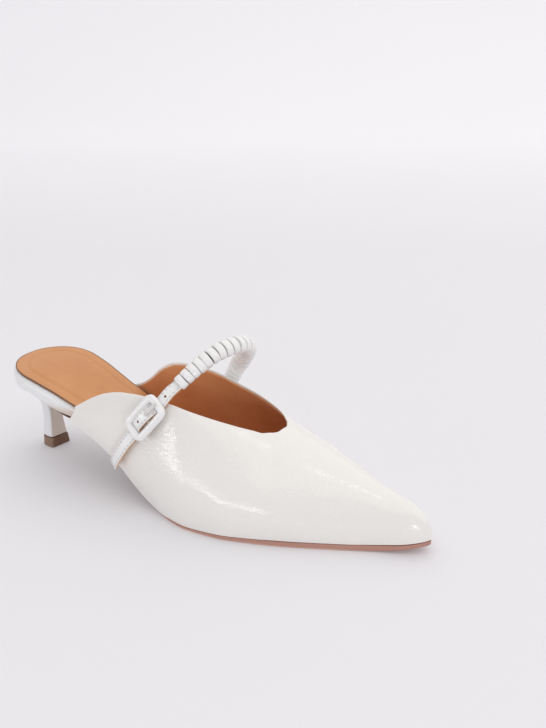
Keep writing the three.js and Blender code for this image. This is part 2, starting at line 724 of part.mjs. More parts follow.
// The free tail comes down to the quarter but stands a little off it.
function tailStops(first) {
  const base = quarterFace(-1, first.point.x, first.point.z);
  const height = first.point.clone().sub(base.point).dot(base.normal);
  return [0, 0.25, 0.5, 0.75].map((u) => {
    const x = mix(strapTail.x, first.point.x, u);
    const z = mix(strapTail.z, first.point.z, u);
    const face = quarterFace(-1, x, z);
    const lift = mix(strapTail.stand, height, u);
    const across = first.across.clone();
    across.addScaledVector(face.normal, -across.dot(face.normal)).normalize();
    return { point: face.point.addScaledVector(face.normal, lift), across, out: face.normal };
  });
}

// From the buckle the strap turns until it lies flat inside the first ring.
function risingStops(first) {
  const stops = [];
  for (const distance of [7, 9.5, ringStart - gap]) {
    const frame = routeFrame(distance);
    const u = Math.min((distance - 2) / 9, 1);
    const across = first.across.clone().lerp(frame.across.clone().negate(), u).normalize();
    const out = first.out.clone().lerp(frame.out, u).normalize();
    const sink = mix(0, strap.thickness / 2, u);
    stops.push({ point: frame.point.clone().addScaledVector(out, -sink), across, out });
  }
  return stops;
}

function strapGeometry() {
  return bandGeometry(strapStops(), strap.width, strap.thickness);
}

// The prong lies on the upper bar and reaches back over the strap to the centre bar.
function prongGeometry() {
  const top = buckleLift + buckle.depth + gap;
  const start = centreBar.lift + centreBar.radius * 1.5 + 2 * gap + strap.thickness + 0.6;
  const { across, out } = buckleBasis;
  const stops = [[prong.from, start], [4, start + 0.1], [7.2, top - 0.1], [8.4, top], [prong.to, top]];
  const places = stops.map(([along, lift]) => ({ point: inBuckleFrame(along, lift), across, out }));
  return bandGeometry(places, prong.width, prong.thickness);
}

// The stitched base tab lies on the quarter under the buckle.
function tabGeometry() {
  const stops = [];
  for (let i = 0; i <= 6; i += 1) {
    const place = inBuckleFrame(mix(tab.low, tab.high, i / 6), 0);
    const face = quarterFace(-1, place.x, place.z);
    const across = buckleBasis.across.clone();
    across.addScaledVector(face.normal, -across.dot(face.normal)).normalize();
    stops.push({ point: face.point.addScaledVector(face.normal, gap), across, out: face.normal });
  }
  return bandGeometry(stops, tab.width, tab.thickness);
}

// The inner end of the strap is a flat leather end stitched to the outside of the inner quarter.
function anchorGeometry() {
  const end = routeCurve.getPointAt(Math.min((ringEnd + gap) / routeLength, 1));
  const stops = [];
  for (let i = 0; i <= 5; i += 1) {
    const u = i / 5;
    const x = end.x - anchor.length * 0.36 * u;
    const z = end.z - 0.3 - anchor.length * 0.93 * u;
    const face = quarterFace(1, x, z);
    const lift = mix(2.6, gap, Math.min(u * 1.6, 1));
    const across = new THREE.Vector3(0.93, 0, -0.36);
    across.addScaledVector(face.normal, -across.dot(face.normal)).normalize();
    stops.push({ point: face.point.addScaledVector(face.normal, lift), across, out: face.normal });
  }
  return bandGeometry(stops, anchor.width, anchor.thickness);
}

function piece(name, geometry, finish) {
  const mesh = new THREE.Mesh(geometry, finish);
  mesh.name = name;
  return mesh;
}

function buildShoe() {
  const shoe = new THREE.Group();
  shoe.name = 'kitten_heel_mule';
  shoe.add(piece('outsole', outsoleGeometry(), material.sole));
  shoe.add(piece('top_lift', liftGeometry(), material.lift));
  shoe.add(piece('heel', heelGeometry(), material.patent));
  shoe.add(piece('footbed_board', boardGeometry(), material.patent));
  shoe.add(piece('sock', sockGeometry(), material.sock));
  shoe.add(piece('upper', upperGeometry(), material.patent));
  shoe.add(piece('buckle_tab', tabGeometry(), material.patent));
  shoe.add(piece('buckle', buckleGeometry(), material.patent));
  shoe.add(piece('buckle_prong', prongGeometry(), material.patent));
  shoe.add(piece('flat_strap', strapGeometry(), material.patent));
  shoe.add(piece('elastic_core', coreGeometry(), material.elastic));
  const rings = new THREE.Group();
  for (let i = 0; i < ringCount; i += 1) {
    rings.add(piece(`ring_${String(i + 1).padStart(2, '0')}`, ringGeometry(i), material.ring));
  }
  shoe.add(rings);
  shoe.add(piece('strap_anchor', anchorGeometry(), material.patent));
  return shoe;
}

export default buildShoe();
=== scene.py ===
import random
from math import copysign, cos, exp, hypot, log, pi, radians, sin, sqrt

import bmesh
import bpy
from mathutils import Matrix, Vector


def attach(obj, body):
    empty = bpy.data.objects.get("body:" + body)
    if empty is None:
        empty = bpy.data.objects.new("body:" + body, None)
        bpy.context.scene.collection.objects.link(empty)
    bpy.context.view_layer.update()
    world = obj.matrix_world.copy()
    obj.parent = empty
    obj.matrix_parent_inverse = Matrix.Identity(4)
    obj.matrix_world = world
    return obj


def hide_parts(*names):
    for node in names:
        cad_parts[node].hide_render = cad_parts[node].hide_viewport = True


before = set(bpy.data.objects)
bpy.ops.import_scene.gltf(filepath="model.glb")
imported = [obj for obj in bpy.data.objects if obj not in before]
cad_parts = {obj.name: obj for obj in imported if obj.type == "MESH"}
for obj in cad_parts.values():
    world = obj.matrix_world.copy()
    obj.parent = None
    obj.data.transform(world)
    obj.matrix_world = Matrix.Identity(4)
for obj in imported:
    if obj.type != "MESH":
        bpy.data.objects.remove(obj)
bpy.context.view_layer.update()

mm = 0.001               # everything below is worked out in millimetres
random.seed(11)
scene = bpy.context.scene
scene.view_settings.view_transform = "Standard"
up = Vector((0, 0, 1))
ahead = Vector((1, 0, 0))

print("camera")
photoCamera = {
    "lens": 39.316,          # the long side of a 36 mm frame takes in 728 pixels
    "target": (73.8, 134.24, 20),
    "distance": 546.35,
    "pitch": 21.5,
    "yaw": 30.44,
}


def aimCamera(spec):
    pitch, yaw = radians(spec["pitch"]), radians(spec["yaw"])
    back = Vector((sin(yaw) * cos(pitch), -cos(yaw) * cos(pitch), sin(pitch)))
    right = Vector((cos(yaw), sin(yaw), 0))
    lens = bpy.data.cameras.new("photoCamera")
    lens.lens = spec["lens"]
    lens.sensor_width = 36
    lens.clip_start = 0.01
    camera = bpy.data.objects.new("photoCamera", lens)
    turn = Matrix((right, back.cross(right), back)).transposed().to_4x4()
    camera.matrix_world = Matrix.Translation((Vector(spec["target"]) + back * spec["distance"]) * mm) @ turn
    scene.collection.objects.link(camera)
    scene.camera = camera


aimCamera(photoCamera)


# Shader maths: a wire is one socket, and sums and products of wires add Math nodes.
class Wire:
    def __init__(self, shader, socket):
        self.shader = shader
        self.socket = socket

    def join(self, operation, first, second):
        return self.shader.node("ShaderNodeMath", {"operation": operation}, {0: first, 1: second})

    def __add__(self, other):
        return self.join("ADD", self, other)

    __radd__ = __add__

    def __sub__(self, other):
        return self.join("SUBTRACT", self, other)

    def __rsub__(self, other):
        return self.join("SUBTRACT", other, self)

    def __mul__(self, other):
        return self.join("MULTIPLY", self, other)

    __rmul__ = __mul__


class Shader:
    def __init__(self, name, fixed):
        self.material = bpy.data.materials.new(name)
        self.material.use_nodes = True
        self.tree = self.material.node_tree
        self.surface = self.tree.nodes["Principled BSDF"]
        for socket, value in fixed.items():
            self.surface.inputs[socket].default_value = value
        self.place = self.node("ShaderNodeTexCoord", out="Object")

    def node(self, kind, settings=None, sockets=None, out=0):
        item = self.tree.nodes.new(kind)
        for key, value in (settings or {}).items():
            if key == "stops":
                for element, position in zip(item.color_ramp.elements, value):
                    element.position = position
            else:
                setattr(item, key, value)
        for key, value in (sockets or {}).items():
            if isinstance(value, Wire):
                self.tree.links.new(value.socket, item.inputs[key])
            else:
                item.inputs[key].default_value = value
        return Wire(self, item.outputs[out])

    def noise(self, scale, detail=3, roughness=0.5, distortion=0.0):
        return self.node("ShaderNodeTexNoise", {}, {
            "Vector": self.place, "Scale": scale / mm, "Detail": detail,
            "Roughness": roughness, "Distortion": distortion})

    def axis(self, name):
        return self.node("ShaderNodeSeparateXYZ", {}, {0: self.place}, out=name)

    def rise(self, wire, start, end):    # 0 before the start, 1 after the end
        return self.node("ShaderNodeValToRGB", {"stops": (start, end)}, {"Fac": wire})

    def blend(self, factor, first, second):
        return self.node("ShaderNodeMix", {"data_type": "RGBA"}, {0: factor, 6: first, 7: second}, out=2)

    def feed(self, socket, wire):
        self.tree.links.new(wire.socket, self.surface.inputs[socket])

    def bump(self, height, strength, depth):
        self.feed("Normal", self.node("ShaderNodeBump", {}, {
            "Strength": strength, "Distance": depth * mm, "Height": height}))


def shade(red, green, blue):
    return tuple(((c / 255 + 0.055) / 1.055) ** 2.4 for c in (red, green, blue)) + (1,)


print("materials")
patentLook = {
    "light": shade(236, 233, 229),
    "creaseShade": shade(221, 218, 212),
    "wrinkle": 0.6,          # wrinkles per millimetre
    "fold": 0.16,
    "depth": 0.17,
    "gloss": 0.14,
}


# Painted shade: the heel's front face and the sole side of the lift are painted darker and browner, standing
# in for the shade and warm bounce they get under the arch.
def paintedFrontShade(s, colour, shadeColour, edge, height):
    face = s.rise(s.axis("X") * (0.1 / mm), edge * 0.1, edge * 0.1 + 0.06)
    above = s.rise(s.axis("Z") * (0.01 / mm), height * 0.01, height * 0.01 + 0.03)
    return s.blend(face * (1 - above), colour, shadeColour)


def patentLeather(name, look, wrinkled=1.0):
    s = Shader(name, {"Coat Weight": 0.0, "IOR": 1.65})
    wander = s.node("ShaderNodeVectorMath", {"operation": "SCALE"}, {
        0: s.node("ShaderNodeTexNoise", {}, {"Vector": s.place, "Scale": 0.5 / mm, "Detail": 2}, out="Color"),
        "Scale": 1.1 * mm})
    warped = s.node("ShaderNodeVectorMath", {"operation": "ADD"}, {0: s.place, 1: wander})
    cells = s.node("ShaderNodeTexVoronoi", {"feature": "SMOOTH_F1"}, {
        "Vector": warped, "Scale": look["wrinkle"] / mm, "Smoothness": 0.6})
    fine = s.noise(look["wrinkle"] * 1.5, 4, 0.6, 0.8)
    folds = s.noise(look["fold"], 3, 0.55, 0.5)
    height = cells * 0.55 + fine * 0.35 + folds * 0.5
    # Painted shade: the wrinkle hollows are painted a little darker.
    creaseShadeMask = s.rise(cells * 0.7 + fine * 0.3, 0.25, 0.75)
    colour = s.blend(creaseShadeMask * (0.1 * wrinkled), look["light"], look["creaseShade"])
    # The heel's front face gets a painted taupe shade.
    if "breast" in look:
        colour = paintedFrontShade(s, colour, look["breast"], *look["breastFrom"])
    s.feed("Base Color", colour)
    s.feed("Roughness", fine * 0.12 + (look["gloss"] - 0.06))
    s.bump(height, 0.7 * wrinkled, look["depth"])
    return s.material


leatherLooks = {
    "lining": {"light": shade(224, 158, 108), "dark": shade(208, 140, 92), "grain": 0.9, "gloss": 0.5},
    "sock": {"light": shade(209, 148, 94), "dark": shade(198, 134, 82), "grain": 1.1, "gloss": 0.5,
             "depth": 0.035},
    "cutEdge": {"light": shade(226, 180, 136), "dark": shade(206, 156, 112), "grain": 1.5, "gloss": 0.6},
    "darkEdge": {"light": shade(132, 90, 62), "dark": shade(108, 70, 46), "grain": 1.5, "gloss": 0.6},
}


def smoothLeather(name, look):
    s = Shader(name, {"Coat Weight": 0.0, "IOR": 1.45, "Sheen Weight": 0.08})
    pores = s.node("ShaderNodeTexVoronoi", {"feature": "F1"}, {
        "Vector": s.place, "Scale": look["grain"] / mm})
    cloud = s.noise(0.05, 4, 0.6)
    fine = s.noise(look["grain"] * 1.6, 3, 0.6)
    patches = s.rise(cloud * 0.8 + fine * 0.2, 0.3, 0.7)
    s.feed("Base Color", s.blend(patches, look["light"], look["dark"]))
    s.feed("Roughness", fine * 0.2 + (look["gloss"] - 0.1))
    s.bump(pores * 0.6 + fine * 0.6, 0.35, look.get("depth", 0.05))
    return s.material


soleLook = {
    "edge": shade(180, 134, 120),
    "low": shade(202, 160, 144),
    "dark": shade(104, 78, 66),
    "lineTop": 0.9,          # a lighter line runs round the foot of the edge
    "waist": (92, 106),      # behind these the edge is painted dark: painted shade under the arch
}


def soleLeather(look):
    s = Shader("soleEdge", {"IOR": 1.45})
    fibre = s.noise(1.2, 4, 0.6)
    lineTop = look["lineTop"] * 0.2
    upper = s.rise(s.axis("Z") * (0.2 / mm) + fibre * 0.05, lineTop, lineTop + 0.06)
    # Painted shade: the edge in the waist, under the arch, is painted dark.
    front = s.rise(s.axis("X") * (0.01 / mm), *(x * 0.01 for x in look["waist"]))
    edge = s.blend(upper, look["low"], look["edge"])
    s.feed("Base Color", s.blend(front, look["dark"], edge))
    s.feed("Roughness", fibre * 0.25 + 0.4)
    s.bump(fibre, 0.3, 0.08)
    return s.material


# front is painted shade: the lift's front face is painted darker than its sides.
liftLook = {"face": shade(146, 116, 98), "dark": shade(122, 92, 76), "front": shade(112, 80, 62),
            "frontShadeFrom": (4.2, 20)}


def liftRubber(look):
    s = Shader("liftRubber", {"IOR": 1.5})
    grit = s.noise(1.4, 4, 0.6)
    colour = s.blend(s.rise(grit, 0.35, 0.7), look["face"], look["dark"])
    s.feed("Base Color", paintedFrontShade(s, colour, look["front"], *look["frontShadeFrom"]))
    s.feed("Roughness", grit * 0.2 + 0.32)
    s.bump(grit, 0.25, 0.06)
    return s.material


def elasticWeb():
    s = Shader("elasticWeb", {"IOR": 1.4, "Sheen Weight": 0.3})
    rib = s.node("ShaderNodeTexWave", {"bands_direction": "Y"}, {
        "Vector": s.place, "Scale": 0.5 / mm, "Distortion": 1.5, "Detail": 2})
    s.feed("Base Color", s.blend(rib, shade(40, 38, 38), shade(74, 70, 68)))
    s.feed("Roughness", rib * 0.1 + 0.75)
    s.bump(rib, 0.5, 0.15)
    return s.material


def threadFibre():
    s = Shader("thread", {"IOR": 1.45, "Sheen Weight": 0.2})
    ply = s.noise(2.5, 2, 0.5)
    s.feed("Base Color", s.blend(ply, shade(216, 216, 217), shade(186, 185, 186)))
    s.feed("Roughness", ply * 0.2 + 0.5)
    s.bump(ply, 0.4, 0.05)
    return s.material


def paintedMetal():
    s = Shader("paintedProng", {"IOR": 1.5, "Coat Weight": 0.4, "Coat Roughness": 0.1})
    haze = s.noise(0.4, 3, 0.5)
    s.feed("Base Color", s.blend(haze, shade(230, 228, 224), shade(205, 203, 200)))
    s.feed("Roughness", haze * 0.1 + 0.25)
    return s.material


smoothLook = dict(patentLook, light=shade(238, 237, 236), wrinkle=0.9, depth=0.1)
# breast is painted shade on the heel's front face.
heelLook = dict(smoothLook, light=shade(233, 233, 235), breast=shade(216, 202, 190), breastFrom=(3, 40))
finish = {
    "patent": patentLeather("patentLeather", patentLook),
    "heelPatent": patentLeather("heelPatent", heelLook, 0.6),
    "smoothPatent": patentLeather("smoothPatent", smoothLook, 0.6),
    **{name: smoothLeather(name + "Leather", look) for name, look in leatherLooks.items()},
    "sole": soleLeather(soleLook),
    "lift": liftRubber(liftLook),
    "elastic": elasticWeb(),
    "thread": threadFibre(),
    "metal": paintedMetal(),
}


# Collects shared points and faces in millimetres.
class Skin:
    def __init__(self):
        self.points = []
        self.faces = []
        self.seen = {}

    def add(self, point):
        key = tuple(round(v, 3) for v in point)
        if key not in self.seen:
            self.seen[key] = len(self.points)
            self.points.append(Vector(point))
        return self.seen[key]

    def face(self, *corners):
        ring = []
        for corner in corners:
            index = self.add(corner)
            if index not in ring:
                ring.append(index)
        if len(ring) > 2:
            self.faces.append(ring)

    def strip(self, low, high, closed=False):
        for i in range(len(low) - (0 if closed else 1)):
            j = (i + 1) % len(low)
            self.face(low[i], low[j], high[j], high[i])

    def cap(self, loop):
        middle = sum(loop, Vector()) / len(loop)
        for i in range(len(loop)):
            self.face(middle, loop[i], loop[(i + 1) % len(loop)])

    def sheet(self, rows, closed=False):
        for low, high in zip(rows, rows[1:]):
            self.strip(low, high, closed)

    def tube(self, loops):
        self.sheet(loops, True)
        self.cap(loops[0])
        self.cap(loops[-1])
        return self

    def hoop(self, loops):
        self.sheet(loops + loops[:1], True)
        return self


def buildMesh(name, skin):
    mesh = bpy.data.meshes.new(name)
    mesh.from_pydata([p * mm for p in skin.points], [], skin.faces)
    work = bmesh.new()
    work.from_mesh(mesh)
    bmesh.ops.recalc_face_normals(work, faces=work.faces)
    work.to_mesh(mesh)
    work.free()
    return mesh


def makePiece(name, skin, look, nodes=(), sharp=40):
    mesh = skin if isinstance(skin, bpy.types.Mesh) else buildMesh(name, skin)
    mesh.shade_smooth()
    mesh.set_sharp_from_angle(angle=radians(sharp))
    mesh.materials.append(finish[look])
    piece = bpy.data.objects.new(name, mesh)
    scene.collection.objects.link(piece)
    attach(piece, "root")
    if nodes:
        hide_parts(*nodes)
    return piece


def mix(a, b, t):
    return a + (b - a) * t


def clamp(value, low=0.0, high=1.0):
    return min(max(value, low), high)


def ease(value):
    t = clamp(value)
    return t * t * (3 - 2 * t)


def bezier(a, b, c, d, t):
    s = 1 - t
    return s ** 3 * a + 3 * s * s * t * b + 3 * s * t * t * c + t ** 3 * d


def circle(count):
    return [2 * pi * k / count for k in range(count)]


# The part of a direction that is square to a normal.
def flatten(way, normal):
    return (way - normal * way.dot(normal)).normalized()


def directionAt(points, i):
    return (points[min(i + 1, len(points) - 1)] - points[max(i - 1, 0)]).normalized()


# A smooth curve through one column of a table, without overshoot.
def column(names, rows, name):
    xs = [row[0] for row in rows]
    ys = [row[names.index(name)] for row in rows]
    slopes = [(b - a) / (q - p) for a, b, p, q in zip(ys, ys[1:], xs, xs[1:])]
    tangents = [slopes[0]]
    for before, after in zip(slopes, slopes[1:]):
        product = before * after
        tangents.append(0 if product <= 0 else 2 * product / (before + after))
    tangents.append(slopes[-1])

    def value(x):
        i = 0
        while i < len(xs) - 2 and x > xs[i + 1]:
            i += 1
        span = xs[i + 1] - xs[i]
        t = clamp((x - xs[i]) / span, -0.5, 1.5)
        start = (2 * t ** 3 - 3 * t * t + 1) * ys[i] + (t ** 3 - 2 * t * t + t) * span * tangents[i]
        return start + (3 * t * t - 2 * t ** 3) * ys[i + 1] + (t ** 3 - t * t) * span * tangents[i + 1]

    return value


def columns(names, rows):
    return {name: column(names, rows, name) for name in names[1:]}


# The shoe's own sizes, those of its solids refined by up to a millimetre or so.
lastNames = ("x", "lat", "med", "low", "topY", "top", "rise", "spread", "swell")
lastRows = [
    (30, -27.4, 22.5, 39.5, -2, 84, 0.6, 0.82, 0.3),
    (45, -27.5, 21.0, 34.6, -2, 88, 0.6, 0.82, 0.8),
    (60, -27.7, 20.6, 28.4, -1, 90, 0.6, 0.82, 1.4),
    (75, -28.2, 21.4, 19.4, 0, 89, 0.6, 0.82, 2),
    (87, -29.2, 23.0, 9.8, 1, 85, 0.58, 0.82, 2.4),
    (97, -31.0, 25.2, 4.4, 2, 80.5, 0.58, 0.8, 2.4),
    (110, -34.4, 28.8, 1.9, 3, 73, 0.56, 0.78, 2.2),
    (124, -36.8, 32.6, 1.9, 4, 65, 0.54, 0.74, 1.9),
    (140, -35.6, 35.8, 2.3, 5, 56.2, 0.52, 0.66, 1.6),
    (158, -30.6, 36.8, 2.8, 6, 47, 0.5, 0.58, 1.5),
    (172, -25.4, 34.4, 3.3, 6.5, 42, 0.5, 0.56, 1.4),
    (186, -19.0, 30.0, 3.3, 6.5, 36.5, 0.5, 0.55, 1.3),
    (200, -12.4, 24.2, 3.4, 6.5, 31, 0.5, 0.55, 1.2),
    (212, -6.9, 19.0, 4.1, 6.5, 26.6, 0.5, 0.55, 1.1),
    (222, -3.2, 15.2, 5.3, 6.5, 23.9, 0.5, 0.55, 1),
    (235, 0.2, 11.6, 7.6, 6.5, 21, 0.5, 0.55, 0.8),
]
toplineRows = [
    (41, 41.4, 37.6), (48, 45.4, 40.4), (54, 49.2, 43.0), (61, 53.4, 47.9), (70, 57.5, 56.2),
    (80, 59.8, 61.0), (92, 60.3, 62.0), (106, 59.3, 60.0), (120, 56.6, 55.6), (134, 52.7, 52.4),
    (147.2, 48.7, 49.1), (151.57, 47.31, 48.45), (153.57, 47.09, 48.15), (155.37, 46.8, 47.72),
    (156.47, 46.74, 47.54), (157.37, 47.27, 47.27),
]
bedRows = [
    (-18, 56.2, 45.2, 43.2, 1.6), (0, 55.0, 43.6, 41.7, 1.6), (25, 50.7, 39.8, 37.9, 1.6),
    (40, 46.2, 36.2, 34.3, 1.6), (50, 42.8, 33.0, 31.1, 1.6), (62, 37.2, 28.0, 26.1, 1.6),
    (75, 29.3, 20.4, 18.5, 1.6), (87, 21.2, 11.8, 9.9, 1.6), (96, 15.6, 5.9, 4.0, 1.6),
    (104, 11.8, 2.9, 0.7, 1.3), (112, 9.4, 2.6, 0, 1.5), (124, 7.8, 2.9, 0, 1.6),
    (140, 7.3, 3.3, 0, 2.0), (158, 7.3, 3.3, 0, 2.5), (196, 7.3, 3.3, 0, 3), (208, 7.7, 3.7, 0.4, 3),
    (220, 8.6, 4.6, 1.6, 2.7), (235, 10.6, 6.6, 4.6, 2.2),
]
sockRows = [
    (-14, -23.4, 22.4), (12, -24.2, 23.2), (25, -24.9, 21.3), (40, -24.8, 18.5), (50, -24.6, 17.0),
    (75, -25.2, 17.8), (97, -27.6, 21.6), (124, -33.4, 29.0), (158, -27.2, 33.2), (186, -15.6, 26.4),
    (208, -5.4, 17.4),
]
outsoleRows = [
    (7, -19.0, 18.0), (25, -23.4, 18.6), (36, -24.6, 17.0), (44, -23.0, 15.4), (60, -22.0, 15.0),
    (80, -22.6, 17.0), (96, -27.6, 22.0), (106, -32.6, 27.0), (124, -36.9, 32.8), (140, -35.8, 36.0),
    (158, -30.9, 37.1), (172, -25.7, 34.7), (186, -19.4, 30.3), (200, -12.8, 24.5), (212, -7.3, 19.4),
    (222, -3.4, 15.4), (235, 0.4, 11.8),
]
sideNames = ("x", "lat", "med")
last = columns(lastNames, lastRows)
topline = columns(sideNames, toplineRows)
bed = columns(("x", "sock", "board", "tread", "thick"), bedRows)
sockPlan = columns(sideNames, sockRows)
outsolePlan = columns(sideNames, outsoleRows)

upperSizes = {
    "toeX": 235.2, "toeY": 6.5, "capStart": 221, "throatX": 157.37, "rearX": 41.5, "rearLean": 6.5,
    "wallLean": 0.028,       # the wall swells low down and leans in above
    "leanStart": 44, "leanEnd": 205,
    "quarterSteps": 84, "vampSteps": 56, "girthSteps": 30, "throatCrowd": 2.3,
}
# Short folds in the quarters: x, z, slope and reach.
leatherFolds = ((62, 36, 0.9, 9), (70, 29, 0.8, 8), (108, 12, 0.5, 9), (150, 30, -0.4, 12))


def capScale(x, start, tip):
    if x <= start:
        return 1
    return sqrt(1 - min((x - start) / (tip - start), 1) ** 2)


def upperPoint(x, side, t, inset):
    size = upperSizes
    shrink = capScale(x, size["capStart"], size["toeX"] - inset * 1.2)
    feather = last["lat"](x) + inset if side < 0 else last["med"](x) - inset
    low = last["low"](x)
    middle = size["toeY"] if x > size["capStart"] else last["topY"](x)
    high = last["top"](x) - inset
    half = feather - middle
    y = bezier(half, half + side * last["swell"](x), half * last["spread"](x), 0, t)
    z = bezier(0, (high - low) * last["rise"](x), high - low, high - low, t)
    reach = (topline["lat"](x) if x < size["throatX"] else last["top"](x)) - low
    lean = reach * size["wallLean"] * ease((x - size["leanStart"]) / 20) * ease((size["leanEnd"] - x) / 45)
    y += side * lean * sin(2 * pi * clamp(z / reach)) * (1 if side < 0 else 0.5)
    return Vector((x, middle + y * shrink, low + z * shrink ** 0.85))


def shareAtHeight(x, side, z):
    a, b = 0, 1
    for _ in range(30):
        middle = (a + b) / 2
        if upperPoint(x, side, middle, 0).z < z:
            a = middle
        else:
            b = middle
    return (a + b) / 2


def quarterFace(side, x, z):
    def at(px, pz):
        return upperPoint(px, side, shareAtHeight(px, side, pz), 0)

    normal = (at(x + 0.5, z) - at(x - 0.5, z)).cross(at(x, z + 0.5) - at(x, z - 0.5)).normalized()
    return at(x, z), -normal if normal.y * side < 0 else normal


# Soft unevenness of the drawn leather: low swells, and the short folds.
def leatherRelief(point, side):
    x, y, z = point
    swell = 0.16 * sin(x * 0.13 + z * 0.11) * sin(y * 0.17 + x * 0.05 + 1.3)
    folds = 0
    for fx, fz, slope, reach in leatherFolds:
        along = (x - fx) + (z - fz) * slope
        across = (z - fz) - (x - fx) * slope
        folds += 0.14 * exp(-(across / 2.2) ** 2 - (along / reach) ** 2)
    return swell + (folds if side < 0 else folds * 0.6)


def upperGrid(side, inset, edgeShift, relief):
    size = upperSizes
    throat = size["throatX"] + edgeShift
    rows = []
    for i in range(size["quarterSteps"] + size["vampSteps"] + 1):
        if i <= size["quarterSteps"]:
            u = 1 - i / size["quarterSteps"]
            base = throat - (throat - size["rearX"] - edgeShift) * u ** size["throatCrowd"]
            lean = size["rearLean"] * u ** 3
        else:
            u = (i - size["quarterSteps"]) / size["vampSteps"]
            base = mix(throat, size["toeX"] - inset * 1.2, sin(u * pi / 2))
            lean = 0
        row = []
        for j in range(size["girthSteps"] + 1):
            share = j / size["girthSteps"]
            x = base + lean * share
            end = 1
            if i < size["quarterSteps"]:
                collar = topline["lat" if side < 0 else "med"](x - edgeShift)
                end = shareAtHeight(x, side, collar - edgeShift * clamp((throat - x) / 14) * 0.7)
            row.append(upperPoint(x, side, share * end, inset))
        rows.append(row)
    if relief:
        rows = [[liftPoint(rows, i, j, side) for j in range(len(rows[i]))] for i in range(len(rows))]
    return rows


def liftPoint(rows, i, j, side):
    point = rows[i][j]
    if i in (0, len(rows) - 1) or j == 0:
        return point
    across = rows[i][min(j + 1, len(rows[i]) - 1)] - rows[i][j - 1]
    normal = (rows[i + 1][j] - rows[i - 1][j]).cross(across)
    if normal.length < 1e-6:
        return point
    normal.normalize()
    if normal.dot(Vector((0, side, 0.6))) < 0:
        normal.negate()
    fade = ease((upperSizes["capStart"] - point.x) / 30) * ease(j / 5)
    edgeFade = ease((1.02 - j / upperSizes["girthSteps"]) * 8)
    return point + normal * (leatherRelief(point, side) * fade * edgeFade)


def edgeArc(outer, inner, away, steps=4):
    middle, reach = (outer + inner) / 2, (outer - inner) / 2
    radius = reach.length
    return [middle + reach * cos(a) + away * (radius * sin(a))
            for a in (pi * k / steps for k in range(steps + 1))]


def upperShell(outerInset, innerInset, edgeShift, relief):
    skin = Skin()
    throat = upperSizes["quarterSteps"]
    top = upperSizes["girthSteps"]
    grids = {side: (upperGrid(side, outerInset, edgeShift, relief),
                    upperGrid(side, innerInset, edgeShift, False)) for side in (-1, 1)}
    for side, (outer, inner) in grids.items():
        for i in range(len(outer) - 1):
            skin.strip(outer[i], outer[i + 1])
            skin.strip(inner[i], inner[i + 1])
            skin.face(outer[i][0], outer[i + 1][0], inner[i + 1][0], inner[i][0])
        collar = []
        for i in range(throat + 1):
            mirrored = grids[-side][0][throat - 1][top]
            after = outer[i + 1][top] if i < throat else mirrored
            tangent = after - outer[max(i - 1, 0)][top]
            onward = outer[i + 1][top - 1] - outer[max(i - 1, 0)][top - 1]
            normal = onward.cross(outer[i][top] - outer[i][top - 1])
            away = normal.cross(tangent).normalized()
            collar.append(-away if away.dot(up - ahead) < 0 else away)
        rear = []
        for j in range(top + 1):
            tangent = outer[0][min(j + 1, top)] - outer[0][max(j - 1, 0)]
            away = tangent.cross(outer[1][j] - outer[0][j]).cross(tangent).normalized()
            rear.append(-away if away.dot(ahead) > 0 else away)
        collar[0] = rear[top] = (collar[0] + rear[top]).normalized()
        arcs = [edgeArc(outer[i][top], inner[i][top], collar[i]) for i in range(throat + 1)]
        back = [edgeArc(outer[0][j], inner[0][j], rear[j]) for j in range(top + 1)]
        skin.sheet(arcs)
        skin.sheet(back)
        skin.cap(back[0])
    return skin


print("upper")
makePiece("upperLeather", upperShell(0, 1.0, 0, True), "patent", ["upper"])
makePiece("upperLining", upperShell(1.05, 1.8, 0.8, False), "lining")


print("sock")
sockSizes = {
    "back": -12, "round": 24, "front": 204, "thick": 1.2, "roundness": 2.1,
    "padInset": 6, "padFront": 68, "padBlend": 0.8, "padRise": 0.35, "grooveDepth": 0.5, "grooveWidth": 0.85,
    "edgeDrop": 0.22, "edgeFront": 60, "edgeStand": 0.12, "edgeDeep": 0.9, "along": 220, "across": 72,
}


def heelScale(distance, length):
    u = max(1 - distance / length, 0)
    power = sockSizes["roundness"]
    return (1 - u ** power) ** (1 / power)


# Stations from start to end, crowded towards both.
def plateStations(start, end, steps, crowd):
    shares = [mix(k / steps, (1 - cos(pi * k / steps)) / 2, crowd) for k in range(steps + 1)]
    return [mix(start, end, share) for share in shares]


def sockEdges(x, grow=0.0):
    scale = heelScale(x - sockSizes["back"] + grow, sockSizes["round"] + grow)
    return (sockPlan["lat"](x) - grow) * scale, (sockPlan["med"](x) + grow) * scale


def padRelief(x, y):
    size = sockSizes
    lat, med = sockPlan["lat"](x), sockPlan["med"](x)
    middle, half = (lat + med) / 2, (med - lat) / 2
    u = max((size["back"] + size["round"] - x) / size["round"], 0)
    v = abs(y - middle) / half
    power, soft = size["roundness"], size["padBlend"]
    inside = (1 - (u ** power + v ** power) ** (1 / power)) * half - size["padInset"]
    front = (size["padFront"] - x) * 0.8 - (v * 3) ** 2
    depth = -9
    if inside > -20 and front > -20:
        depth = -log(exp(-inside * soft) + exp(-front * soft)) / soft
    groove = exp(-(depth / size["grooveWidth"]) ** 2) * size["grooveDepth"]
    return size["padRise"] * ease((depth + 1) / 3) - groove


